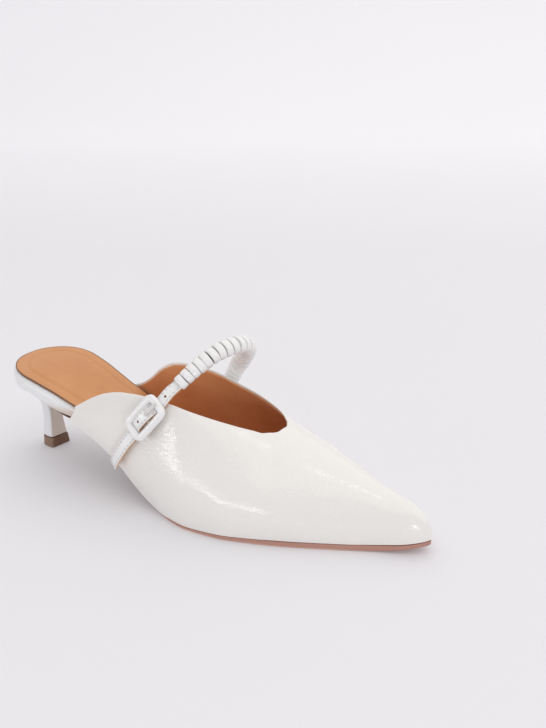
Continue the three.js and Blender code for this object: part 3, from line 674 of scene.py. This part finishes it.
def makeSock():
    skin = Skin()
    size = sockSizes
    across = size["across"]
    tops, lows = [], []
    for x in plateStations(size["back"] + 0.01, size["front"], size["along"], 0.75):
        lat, med = sockEdges(x)
        row, under = [], []
        for k in range(across + 1):
            y = mix(lat, med, (1 - cos(pi * k / across)) / 2)
            z = bed["sock"](x) + padRelief(x, y) - (size["edgeDrop"] if k in (0, across) else 0)
            row.append(Vector((x, y, z)))
            under.append(Vector((x, y, bed["sock"](x) - size["thick"])))
        tops.append(row)
        lows.append(under)
    skin.sheet(tops)
    skin.sheet(lows)
    for i in range(len(tops) - 1):
        for k in (0, across):
            skin.face(tops[i][k], tops[i + 1][k], lows[i + 1][k], lows[i][k])
    for i in (0, len(tops) - 1):
        skin.strip(tops[i], lows[i])
    return skin


makePiece("sock", makeSock(), "sock", ["sock"])


# A thin dark line is the cut edge of the sock.
def makeSockEdge():
    size = sockSizes
    stations = plateStations(size["back"] + 0.01, size["edgeFront"], 90, 0.8)
    points = [Vector((x, sockEdges(x, size["edgeStand"])[side], bed["sock"](x)))
              for side, run in ((0, reversed(stations)), (1, stations[1:])) for x in run]
    loops = []
    for i, point in enumerate(points):
        side = directionAt(points, i).cross(up).normalized()
        low = point - up * size["edgeDeep"]
        loops.append([point + side * 0.22 - up * 0.2, point + up * 0.06, point - side * 0.45 + up * 0.02,
                      low - side * 0.4, low + side * 0.25])
    return Skin().tube(loops)


makePiece("sockEdge", makeSockEdge(), "darkEdge")

print("heel and board")
boardSizes = {
    "rim": 2, "front": 208, "coverFront": 66, "radius": 3, "wallGap": 2.1, "seatFrom": 4, "seatTo": 28,
    "stemSteps": 60, "stemRise": 2.5, "voxel": 0.42, "smooth": 30,
}
heelNames = ("z", "back", "front", "half", "square", "slant")
heelRows = [
    (6.3, -5.6, 5, 5.7, 3, 0.16),
    (12, -5.3, 4.6, 5.1, 3, 0.15),
    (19, -5.1, 4.2, 4.7, 3, 0.14),
    (26, -5.3, 4, 5, 2.9, 0.12),
    (30.5, -6.3, 4, 6.8, 2.7, 0.09),
    (34.4, -8.2, 4.2, 9.8, 2.5, 0.06),
    (37.8, -10.6, 4.7, 13.8, 2.4, 0.03),
    (40.7, -12.6, 5.4, 18.4, 2.4, 0),
    (44.6, -13.6, 6.2, 22.0, 2.4, 0),
]
heel = columns(heelNames, heelRows)


def sectionLoop(z, back, front, half, square, slant, top=None, sides=48, corner=0.8):
    loop = []
    for k in range(sides + 1):
        a = mix(-pi / 2, pi / 2, k / sides)
        c = abs(cos(a)) ** (2 / square)
        s = copysign(abs(sin(a)) ** (2 / square), a)
        x = front - corner - (front - corner - back) * c
        loop.append(Vector((x, half * s, top(x) if top else z)))
    edge = top(front) if top else z
    loop.append(Vector((front, half - corner, edge)))
    loop.append(Vector((front, corner - half, edge)))
    for p in loop:
        p.x += slant * p.y * ((p.x - back) / (front - back))
    return loop


def plateLoop(x, lat, med, bottom, top, radius):
    r = min(radius, (top - bottom) * 0.6, (med - lat) * 0.3)
    turns = [pi / 2 * k / 6 for k in range(7)]
    onward = ease((x - boardSizes["seatFrom"]) / (boardSizes["seatTo"] - boardSizes["seatFrom"]))
    inset = r * mix(1.3, 0.5, onward)
    waist = mix(0.85, 0.4, onward)
    loop = [Vector((x, lat + inset, bottom)), Vector((x, med - inset, bottom))]
    loop += [Vector((x, med, mix(bottom, top - r, waist)))]
    loop += [Vector((x, med - r + r * cos(a), top - r + r * sin(a))) for a in turns]
    loop += [Vector((x, lat + r - r * cos(a), top - r + r * sin(a))) for a in reversed(turns)]
    return loop + [Vector((x, lat, mix(bottom, top - r, waist)))]


def boardEdges(x):
    scale = heelScale(x - sockSizes["back"] + boardSizes["rim"], sockSizes["round"] + 1)
    enter = clamp((x - upperSizes["rearX"] + 8) / 7)
    rim, gap = boardSizes["rim"], boardSizes["wallGap"]
    lat, med = sockPlan["lat"](x) - rim, sockPlan["med"](x) + rim
    lat = mix(lat, max(last["lat"](x) + gap, lat), enter) * scale
    med = mix(med, min(last["med"](x) - gap, med), enter) * scale
    return lat, med


def boardLoops(start, end, steps):
    loops = []
    for x in plateStations(start, end, steps, 0.7):
        lat, med = boardEdges(x)
        top = bed["sock"](x) - sockSizes["thick"] - 0.1
        loops.append(plateLoop(x, lat, med, bed["board"](x), top, boardSizes["radius"]))
    return loops


def heelSection(z, top=None):
    return sectionLoop(z, *(heel[name](z) for name in heelNames[1:]), top)


# The leather wraps board and heel in one: their shapes are fused, then softened.
def makeHeelCover():
    size = boardSizes
    skin = Skin()
    skin.tube(boardLoops(sockSizes["back"] - size["rim"] + 0.02, size["coverFront"], 90))
    low, high = heelRows[0][0], heelRows[-1][0]
    loops = [heelSection(mix(low, high, k / size["stemSteps"])) for k in range(size["stemSteps"] - 2)]
    skin.tube(loops + [heelSection(high, lambda x: bed["board"](x) + size["stemRise"])])
    mesh = buildMesh("heelCover", skin)
    rough = bpy.data.objects.new("rough", mesh)
    scene.collection.objects.link(rough)
    remesh = rough.modifiers.new("fuse", "REMESH")
    remesh.mode = "VOXEL"
    remesh.voxel_size = size["voxel"] * mm
    soften = rough.modifiers.new("soften", "SMOOTH")
    soften.iterations = size["smooth"]
    soften.factor = 0.5
    bpy.context.view_layer.update()
    done = bpy.data.meshes.new_from_object(rough.evaluated_get(bpy.context.evaluated_depsgraph_get()))
    bpy.data.objects.remove(rough)
    done.name = "heelCover"
    done.materials.clear()
    return done


makePiece("heelCover", makeHeelCover(), "heelPatent", ["heel", "footbed_board"], sharp=60)
boardFront = boardLoops(boardSizes["coverFront"] - 2, boardSizes["front"], 60)
makePiece("insoleBoard", Skin().tube(boardFront), "lining")

print("sole and lift")
outsoleSizes = {"back": 7.4, "tip": 234.9, "noseStart": 219, "bevel": 0.35, "steps": 150,
                "thin": 0.5, "thinBefore": 98}


def makeOutsole(size):
    loops = []
    for x in plateStations(size["back"], size["tip"], size["steps"], 0.6):
        scale = max(capScale(x, size["noseStart"], size["tip"]), 0.02)
        centre = upperSizes["toeY"] if x > size["noseStart"] else 0
        lat, med = (centre + (outsolePlan[s](x) - centre) * scale for s in ("lat", "med"))
        low, high = bed["tread"](x), bed["tread"](x) + bed["thick"](x)
        low += size["thin"] * ease((size["thinBefore"] - x) / 12)
        b = size["bevel"] * min(scale * 2, 1)
        loops.append([Vector((x, y, z)) for y, z in (
            (lat + b * 1.4, low), (mix(lat, med, 0.3), low), (mix(lat, med, 0.7), low), (med - b * 1.4, low),
            (med - b * 0.3, low + b), (med, mix(low, high, 0.5)), (med - b * 0.3, high - b * 0.5),
            (med - b, high), (mix(med, lat, 0.5), high), (lat + b, high),
            (lat + b * 0.3, high - b * 0.5), (lat, mix(low, high, 0.5)), (lat + b * 0.3, low + b))])
    return Skin().tube(loops)


makePiece("outsole", makeOutsole(outsoleSizes), "sole", ["outsole"])
# As in heelRows: z, back, front, half, square and slant.
liftRows = [(0, -6, 5.6, 6.3, 3, 0.16), (6, -5.7, 5.2, 5.8, 3, 0.16)]


def makeLift():
    loops = []
    for z, inset in ((0, 0.35), (0.35, 0), (3, 0), (5.75, 0), (6, 0.2)):
        low, high = liftRows
        back, front, half, square, slant = (mix(a, b, z / high[0]) for a, b in zip(low[1:], high[1:]))
        loops.append(sectionLoop(z, back + inset, front - inset, half - inset, square, slant))
    return Skin().tube(loops)


makePiece("topLift", makeLift(), "lift", ["top_lift"])

print("rings and core")
strapRoute = [
    (103.7, -25.8, 60.7), (109.9, -18.9, 68.1), (115.4, -11.0, 75.4), (120.4, -1.8, 80.9),
    (124.6, 8.8, 82.9), (125.4, 19.4, 80.2), (120.9, 27.2, 73.2), (114.0, 30.6, 64.0),
    (108.4, 31.4, 54.6), (104.6, 31.0, 46.0),
]
ringSizes = {
    "count": 22, "start": 12.2, "end": 101, "gap": 0.12,
    "width": (7.6, 10, 8.6), "depth": (6.4, 8, 7.2), "bore": (6.4, 2.9),
    "core": (5.8, 2.2), "sides": 40, "tilt": 0.07, "slip": 0.16,
    "edge": ((0.05, -1), (0, -0.75), (0.08, -0.45), (0.3, -0.2), (0.8, -0.03)),
    "footMiddle": (4, 52),   # the rings face away from this line, y and z
}


# Centripetal Catmull-Rom curve, sampled finely and measured.
def samplePath(points, steps=24):
    points = [Vector(p) for p in points]
    points = [points[0] * 2 - points[1]] + points + [points[-1] * 2 - points[-2]]
    path = []
    for p0, p1, p2, p3 in zip(points, points[1:], points[2:], points[3:]):
        d0, d1, d2 = (max((b - a).length ** 0.5, 1e-4) for a, b in ((p0, p1), (p1, p2), (p2, p3)))
        t1 = ((p1 - p0) / d0 - (p2 - p0) / (d0 + d1) + (p2 - p1) / d1) * d1
        t2 = ((p2 - p1) / d1 - (p3 - p1) / (d1 + d2) + (p3 - p2) / d2) * d1
        for k in range(steps):
            u = k / steps
            path.append(p1 * (2 * u ** 3 - 3 * u * u + 1) + t1 * (u ** 3 - 2 * u * u + u)
                        + p2 * (3 * u * u - 2 * u ** 3) + t2 * (u ** 3 - u * u))
    path.append(points[-2])
    return path


routePath = samplePath(strapRoute)
routeMarks = [0.0]
for before, after in zip(routePath, routePath[1:]):
    routeMarks.append(routeMarks[-1] + (after - before).length)


def routeAt(distance):
    d = clamp(distance, 0, routeMarks[-1] - 1e-4)
    i = next(k for k in range(len(routeMarks) - 1) if routeMarks[k + 1] > d)
    share = (d - routeMarks[i]) / (routeMarks[i + 1] - routeMarks[i])
    return routePath[i].lerp(routePath[i + 1], share)


def routeFrame(distance):
    point = routeAt(distance)
    onward = (routeAt(distance + 0.7) - routeAt(distance - 0.7)).normalized()
    share = clamp(distance / routeMarks[-1])
    out = point - Vector((mix(112, 104, share), *ringSizes["footMiddle"]))
    out = flatten(out, onward)
    return point, onward, out.cross(onward).normalized(), out


def ringSize(share):
    grow = sin(min(share / 0.45, 1) * pi / 2)
    fall = sin(min((1 - share) / 0.3, 1) * pi / 2)
    return [mix(first, middle, grow) - (middle - end) * (1 - fall)
            for first, middle, end in (ringSizes["width"], ringSizes["depth"])]


def oval(point, across, out, width, depth, sides):
    return [point + across * (cos(a) * width / 2) + out * (sin(a) * depth / 2)
            for a in circle(sides)]


def makeRing(index, size):
    pitch = (size["end"] - size["start"]) / size["count"]
    middle = size["start"] + (index + 0.5) * pitch + random.uniform(-1, 1) * size["slip"]
    width, depth = ringSize((index + 0.5) / size["count"])
    width += random.uniform(-0.15, 0.2)
    depth += random.uniform(-0.15, 0.15)
    point, onward, across, out = routeFrame(middle)
    turn = Matrix.Rotation(random.uniform(-1, 1) * size["tilt"], 3, across)
    turn = turn @ Matrix.Rotation(random.uniform(-1, 1) * size["tilt"], 3, out)
    onward, across, out = turn @ onward, turn @ across, turn @ out
    half = (pitch - size["gap"]) / 2
    profile = [(-half + a, rise) for a, rise in size["edge"]] + [(0, 0.05)]
    profile += [(half - a, rise) for a, rise in reversed(size["edge"])]
    bend = (routeFrame(middle + 1)[1] - routeFrame(middle - 1)[1]) / 2
    loops = []
    for along, rise in profile + [(half - 0.12, None), (0, None), (-half + 0.12, None)]:
        spot = point + onward * along + bend * (along * abs(along) / 2)
        w, d = (size["bore"] if rise is None else (width + rise * 2, depth + rise * 2))
        loops.append(oval(spot, across, out, w, d, size["sides"]))
    return Skin().hoop(loops)


for ringIndex in range(ringSizes["count"]):
    ringName = f"ring_{ringIndex + 1:02d}"
    ring = makeRing(ringIndex, ringSizes)
    makePiece("leather_" + ringName, ring, "smoothPatent", [ringName], 50)


def makeCore(size):
    steps = 260
    loops = []
    for k in range(steps + 1):
        d = mix(size["start"] - 0.1, size["end"] + 0.3, k / steps)
        point, _, across, out = routeFrame(d)
        rib = 0.12 * sin(d * 5)
        loops.append(oval(point, across, out, size["core"][0] + rib, size["core"][1] + rib, 24))
    return Skin().tube(loops)


makePiece("elasticCore", makeCore(ringSizes), "elastic", ["elastic_core"])

print("buckle and strap")
buckleSizes = {
    "x": 97.8, "z": 51.3, "lean": 0.65, "tip": 0.08,
    "length": 24.6, "width": 14.4, "bar": 3.9, "depth": 3, "corner": 3.2, "lift": 2.9,
    "barRadius": 0.8, "barLift": 4.1,
}
strapSizes = {
    "width": 6, "thick": 1.4, "back": 0.85, "tailX": 76.6, "tailZ": 21.6, "stand": 2.6, "twist": 0.24,
    "holes": (-2.8, 8.6, 15.4), "hole": 0.8, "stitchInset": 0.85, "stitch": 1.7, "pitch": 2.5,
    "endInset": 0.9, "endStitch": 1.4,
}


def buckleFrame(size):
    point, normal = quarterFace(-1, size["x"], size["z"])
    along = Vector((sin(size["lean"]), 0, cos(size["lean"])))
    along = flatten(along, normal)
    across = along.cross(normal).normalized()
    along = along * cos(size["tip"]) - normal * sin(size["tip"])
    return point, along, across, across.cross(along).normalized()


buckleAt, buckleAlong, buckleAcross, buckleOut = buckleFrame(buckleSizes)


def onBuckle(across, along, lift):
    return buckleAt + buckleAcross * across + buckleAlong * along + buckleOut * lift


def frameOutline(width, length, corner, turns=10):
    spots = []
    for sx, sy, start in ((1, 1, 0), (-1, 1, 90), (-1, -1, 180), (1, -1, 270)):
        for k in range(turns + 1):
            a = radians(start + 90 * k / turns)
            spots.append((sx * (width / 2 - corner) + corner * cos(a),
                          sy * (length / 2 - corner) + corner * sin(a), cos(a), sin(a)))
    return spots


# The frame is a bar of rounded section that runs round a rounded rectangle, covered in leather.
def makeBuckle(size):
    loops = []
    spots = frameOutline(size["width"] - size["bar"], size["length"] - size["bar"], size["corner"] - 0.8)
    dense = []
    for i, spot in enumerate(spots):
        after = spots[(i + 1) % len(spots)]
        gap = hypot(after[0] - spot[0], after[1] - spot[1])
        count = max(int(gap / 0.9), 1)
        dense += [tuple(mix(p, q, k / count) for p, q in zip(spot, after)) for k in range(count)]
    for px, py, nx, ny in dense:
        pucker = 0.05 * sin(px * 2.1 + py * 1.7)
        loop = []
        for a in circle(20):
            c = copysign(abs(cos(a)) ** 0.75, cos(a))
            s = copysign(abs(sin(a)) ** 0.8, sin(a))
            r = c * (size["bar"] / 2 + pucker)
            loop.append(onBuckle(px + nx * r, py + ny * r, size["lift"] + size["depth"] / 2 * (1 + s)))
        loops.append(loop)
    return Skin().hoop(loops)


makePiece("buckleFrame", makeBuckle(buckleSizes), "smoothPatent", ["buckle"], sharp=60)


def rod(spots, radii, flat=1.0):
    loops = []
    for i, spot in enumerate(spots):
        onward = directionAt(spots, i)
        side = onward.cross(buckleOut).normalized()
        rise = side.cross(onward)
        loops.append(oval(spot, side, rise, radii[i] * 2, radii[i] * 2 * flat, 20))
    return Skin().tube(loops)


barReach = buckleSizes["width"] / 2 - buckleSizes["bar"] / 2
barSpots = [onBuckle(mix(-barReach, barReach, k / 8), 0, buckleSizes["barLift"]) for k in range(9)]
makePiece("buckleBar", rod(barSpots, [buckleSizes["barRadius"]] * 9), "metal")
prongTop = buckleSizes["lift"] + buckleSizes["depth"] + 0.75
prongSpots = [onBuckle(0, y, z) for y, z in (
    (2.2, 6.2), (2.8, 6.9), (3.8, 7.15), (5.4, 7.0), (7, prongTop + 0.05), (8.6, prongTop + 0.1),
    (10.2, prongTop), (11.3, prongTop - 0.1), (11.7, prongTop - 0.2))]
prongRadii = [0.5, 0.75, 0.85, 0.85, 0.85, 0.85, 0.8, 0.6, 0.25]
makePiece("prong", rod(prongSpots, prongRadii, 0.8), "metal", ["buckle_prong"])


# Stops along a band, each with its place, its width direction and its face direction.
def strapStops():
    b, s = buckleSizes, strapSizes
    under = b["lift"] - 0.3 - s["thick"]
    over = b["barLift"] + b["barRadius"] + 0.3
    reach = b["length"] / 2
    spots = [(-reach - 2.6, under, 0), (-reach, under, -0.2), (-reach + 3.4, under + 0.2, -0.4),
             (-7.4, mix(under, over, 0.5), -0.5), (-5.6, mix(under, over, 0.88), -0.6), (-2.8, over, -0.6),
             (0.6, over, -0.5), (3.6, mix(under, over, 0.88), -0.4), (6, mix(under, over, 0.55), -0.3),
             (reach - 3.4, under + 0.1, -0.2), (reach - 1, under, 0)]
    middle = [(onBuckle(shift, along, lift), buckleAcross, buckleOut) for along, lift, shift in spots]
    return tailStops(middle[0]) + middle + risingStops(middle[-1])


def tailStops(first):
    s = strapSizes
    base, normal = quarterFace(-1, first[0].x, first[0].z)
    height = (first[0] - base).dot(normal)
    stops = []
    for u in (0, 0.25, 0.5, 0.75):
        face, normal = quarterFace(-1, mix(s["tailX"], first[0].x, u), mix(s["tailZ"], first[0].z, u))
        across = flatten(first[1], normal)
        turn = s["twist"] * (1 - u) ** 0.7
        edge = across * cos(turn) + normal * sin(turn)
        out = normal * cos(turn) - across * sin(turn)
        stops.append((face + normal * mix(s["stand"], height, u), edge, out))
    return stops


def risingStops(first):
    stops = []
    for distance in (7, 9.5, ringSizes["start"] + 0.8):
        point, _, across, out = routeFrame(distance)
        u = min((distance - 2) / 9, 1)
        way = first[1].lerp(-across, u).normalized()
        face = first[2].lerp(out, u).normalized()
        stops.append((point - face * (strapSizes["thick"] / 2 * u), way, face))
    return stops


def denseStops(stops, steps=12):
    places = samplePath([stop[0] for stop in stops], steps)
    dense = []
    for k, place in enumerate(places):
        i, u = min(k // steps, len(stops) - 2), (k % steps) / steps
        if k == len(places) - 1:
            i, u = len(stops) - 2, 1
        across = stops[i][1].lerp(stops[i + 1][1], u).normalized()
        out = stops[i][2].lerp(stops[i + 1][2], u)
        dense.append((place, across, flatten(out, directionAt(places, k))))
    return dense


# A band between two heights above its base, its edges rounded.
def makeBand(stops, width, low, high, soft=0.16):
    loops = []
    for place, across, out in stops:
        half = width / 2
        loop = [(-half + soft, low), (half - soft, low), (half, low + soft), (half, high - soft),
                (half - soft, high - 0.03), (half * 0.6, high), (-half * 0.6, high),
                (-half + soft, high - 0.03), (-half, high - soft), (-half, low + soft)]
        loops.append([place + across * a + out * b for a, b in loop])
    return Skin().tube(loops)


# Stitches are short rounded rods sunk half into the face.
def addStitch(skin, place, onward, out, length, radius=0.24):
    side = onward.cross(out).normalized()
    loops = []
    for k, swell in ((-1, 0.25), (-0.8, 0.8), (-0.3, 1), (0.3, 1), (0.8, 0.8), (1, 0.25)):
        spot = place + onward * (k * length / 2) + out * (0.1 * (1 - k * k))
        loops.append(oval(spot, side, out, radius * 2 * swell, radius * 2 * swell, 8))
    skin.tube(loops)


def stitchAlong(skin, places, outs, length, pitch):
    walked, due = 0, pitch / 2
    for i in range(len(places) - 1):
        step = (places[i + 1] - places[i]).length
        while walked + step >= due:
            u = (due - walked) / step
            onward = (places[i + 1] - places[i]).normalized()
            addStitch(skin, places[i].lerp(places[i + 1], u), onward, outs[i], length)
            due += pitch
        walked += step


def stitchBand(stops, width, height, ends=(True, False)):
    skin = Skin()
    size = strapSizes
    reach = width / 2 - size["stitchInset"]
    for side in (-1, 1):
        places = [place + across * (side * reach) + out * height for place, across, out in stops]
        stitchAlong(skin, places, [stop[2] for stop in stops], size["stitch"], size["pitch"])
    for wanted, end, inner in ((ends[0], stops[0], stops[3]), (ends[1], stops[-1], stops[-4])):
        if wanted:
            place, across, out = end
            onward = (inner[0] - place).normalized()
            for k in (-1, 0, 1):
                spot = place + onward * size["endInset"] + across * (k * reach * 0.62) + out * height
                addStitch(skin, spot, across, out, size["endStitch"])
    return skin


strapLine = denseStops(strapStops())
strapWidth, strapTop, strapBack = (strapSizes[key] for key in ("width", "thick", "back"))
makePiece("strapBack", makeBand(strapLine, strapWidth, 0, strapBack), "cutEdge", ["flat_strap"])
makePiece("strapFace", makeBand(strapLine, strapWidth - 0.1, strapBack - 0.02, strapTop), "smoothPatent")
makePiece("strapStitches", stitchBand(strapLine, strapWidth, strapTop), "thread")


# Punched holes: a dark pit of painted shade inside each hole, with a pressed rim.
def makeHoles(line, radius):
    shadePits, rims = Skin(), Skin()
    for along in strapSizes["holes"]:
        target = onBuckle(0, along, strapSizes["thick"])
        place, across, out = min(line, key=lambda stop: (stop[0] - target).length)
        onward = across.cross(out)
        top = place + out * (strapSizes["thick"] + 0.03)
        shadePits.tube([oval(top - out * depth, across, onward, radius * 2, radius * 2, 24) for depth in (0, 0.4)])
        loops = []
        for a in circle(28):
            spoke = across * cos(a) + onward * sin(a)
            loops.append([top + spoke * (radius + 0.16 * cos(b)) + out * (0.12 * sin(b))
                          for b in circle(8)])
        rims.hoop(loops)
    return shadePits, rims


shadedHolePits, holeRims = makeHoles(strapLine, strapSizes["hole"])
makePiece("shadedHolePits", shadedHolePits, "darkEdge")
makePiece("holeRims", holeRims, "smoothPatent")

print("tab and anchor")
tabSizes = {"width": 7, "thick": 0.8, "low": -15.5, "high": 1.6}


def tabStops(size):
    stops = []
    for k in range(25):
        place = onBuckle(0, mix(size["low"], size["high"], k / 24), 0)
        face, normal = quarterFace(-1, place.x, place.z)
        stops.append((face + normal * 0.2, flatten(buckleAcross, normal), normal))
    return stops


def stitchedTab(names, stops, size, node, ends=(True, False)):
    band, stitches = names
    makePiece(band, makeBand(stops, size["width"], 0, size["thick"]), "smoothPatent", [node])
    makePiece(stitches, stitchBand(stops, size["width"], size["thick"], ends), "thread")


stitchedTab(("buckleTab", "tabStitches"), tabStops(tabSizes), tabSizes, "buckle_tab")
anchorSizes = {"width": 6, "thick": 1.1, "length": 13, "slope": (-0.36, -0.93), "stand": (2.6, 0.25)}


def anchorStops(size):
    end = routeAt(ringSizes["end"] + 0.3)
    dx, dz = size["slope"]
    stops = []
    for k in range(25):
        u = k / 24
        face, normal = quarterFace(1, end.x + size["length"] * dx * u, end.z - 0.3 + size["length"] * dz * u)
        across = flatten(Vector((-dz, 0, dx)), normal)
        stops.append((face + normal * mix(*size["stand"], ease(u * 1.6)), across, normal))
    return stops


anchorNames = ("strapAnchor", "anchorStitches")
stitchedTab(anchorNames, anchorStops(anchorSizes), anchorSizes, "strap_anchor", (False, True))

print("stage and light")
studio = {
    # glow is painted light: the sweep's own faint glow, which lifts the shadows on the floor.
    "floor": shade(218, 217, 220), "patches": shade(216, 214, 218), "glow": 0.225,
    "depth": 1.6, "curve": 0.9, "height": 2.4, "half": 8, "front": -8,      # metres
    "world": 0.57,
}
# Name, spot on the shoe, azimuth, height, distance, size, glow and roll: metres and degrees.
lampRows = [
    ("stripFront", (0.14, -0.03, 0.025), -88, 10, 0.9, (0.44, 0.045), 6.5, -6),
    ("stripMiddle", (0.12, -0.035, 0.03), -114, 5.5, 0.9, (0.36, 0.035), 4.5, 15),
    ("stripRear", (0.1, -0.03, 0.035), -133, 1.2, 0.9, (0.3, 0.035), 8, 8),
    ("toeSpark", (0.228, 0, 0.013), -46, 6, 0.7, (0.05, 0.04), 75, 0),
    ("throatSpark", (0.15, -0.015, 0.045), -26, 64, 0.9, (0.08, 0.06), 5, 0),
]


# A pale sweep: floor, soft curve and wall in one sheet. It glows faintly, painted light that lifts the
# shadows on the floor, and glows more towards the wall.
def makeSweep(size):
    profile = [(size["front"], 0), (size["depth"], 0)]
    for k in range(1, 17):
        a = pi / 2 * k / 16
        profile.append((size["depth"] + size["curve"] * sin(a), size["curve"] * (1 - cos(a))))
    profile.append((size["depth"] + size["curve"], size["height"]))
    mesh = bpy.data.meshes.new("sweep")
    points = [(x, y, z) for y, z in profile for x in (-size["half"], size["half"])]
    faces = [(2 * k, 2 * k + 1, 2 * k + 3, 2 * k + 2) for k in range(len(profile) - 1)]
    mesh.from_pydata(points, [], faces)
    mesh.shade_smooth()
    s = Shader("sweepPaper", {"Specular IOR Level": 0.2, "Roughness": 0.8, "Emission Strength": size["glow"]})
    s.feed("Base Color", s.blend(s.noise(0.002, 3, 0.5), size["floor"], size["patches"]))
    # Painted light: the glow grows from the floor up to the wall.
    paintedWallLight = s.rise(s.axis("Y") * 0.4, 0.2, 0.7)
    s.feed("Emission Color", s.blend(paintedWallLight, (0.5, 0.5, 0.51, 1), (1, 0.99, 1, 1)))
    mesh.materials.append(s.material)
    sweep = bpy.data.objects.new("sweep", mesh)
    sweep.rotation_euler.z = radians(photoCamera["yaw"])
    scene.collection.objects.link(sweep)


makeSweep(studio)


def softBox(name, place, target, width, height, power, tint):
    lamp = bpy.data.lights.new(name, "AREA")
    lamp.shape = "RECTANGLE"
    lamp.size, lamp.size_y, lamp.energy, lamp.color = width, height, power, tint
    box = bpy.data.objects.new(name, lamp)
    box.location = place
    box.rotation_mode = "QUATERNION"
    box.rotation_quaternion = (Vector(target) - Vector(place)).to_track_quat("-Z", "Y")
    scene.collection.objects.link(box)
    return box


world = bpy.data.worlds.new("studioWorld")
scene.world = world
world.use_nodes = True
background = world.node_tree.nodes["Background"].inputs
background["Color"].default_value = (0.97, 0.975, 1, 1)
background["Strength"].default_value = studio["world"]


# Places a lamp by the direction it is seen in from one spot of the shoe.
def boxAround(name, spot, azimuth, height, distance, size, glow, roll):
    a, e = radians(azimuth), radians(height)
    way = Vector((cos(a) * cos(e), sin(a) * cos(e), sin(e)))
    place = Vector(spot) + way * distance
    box = softBox(name, place, spot, size[0], size[1], glow * pi * size[0] * size[1], (1, 1, 1))
    turn = Matrix.Rotation(radians(roll), 3, "Z").to_quaternion()
    box.rotation_quaternion = box.rotation_quaternion @ turn


softBox("overhead", (1.0, 0.9, 1.9), (0.8, 0.7, 0), 5, 6, 62, (1, 0.97, 0.93))
for lampRow in lampRows:
    boxAround(*lampRow)
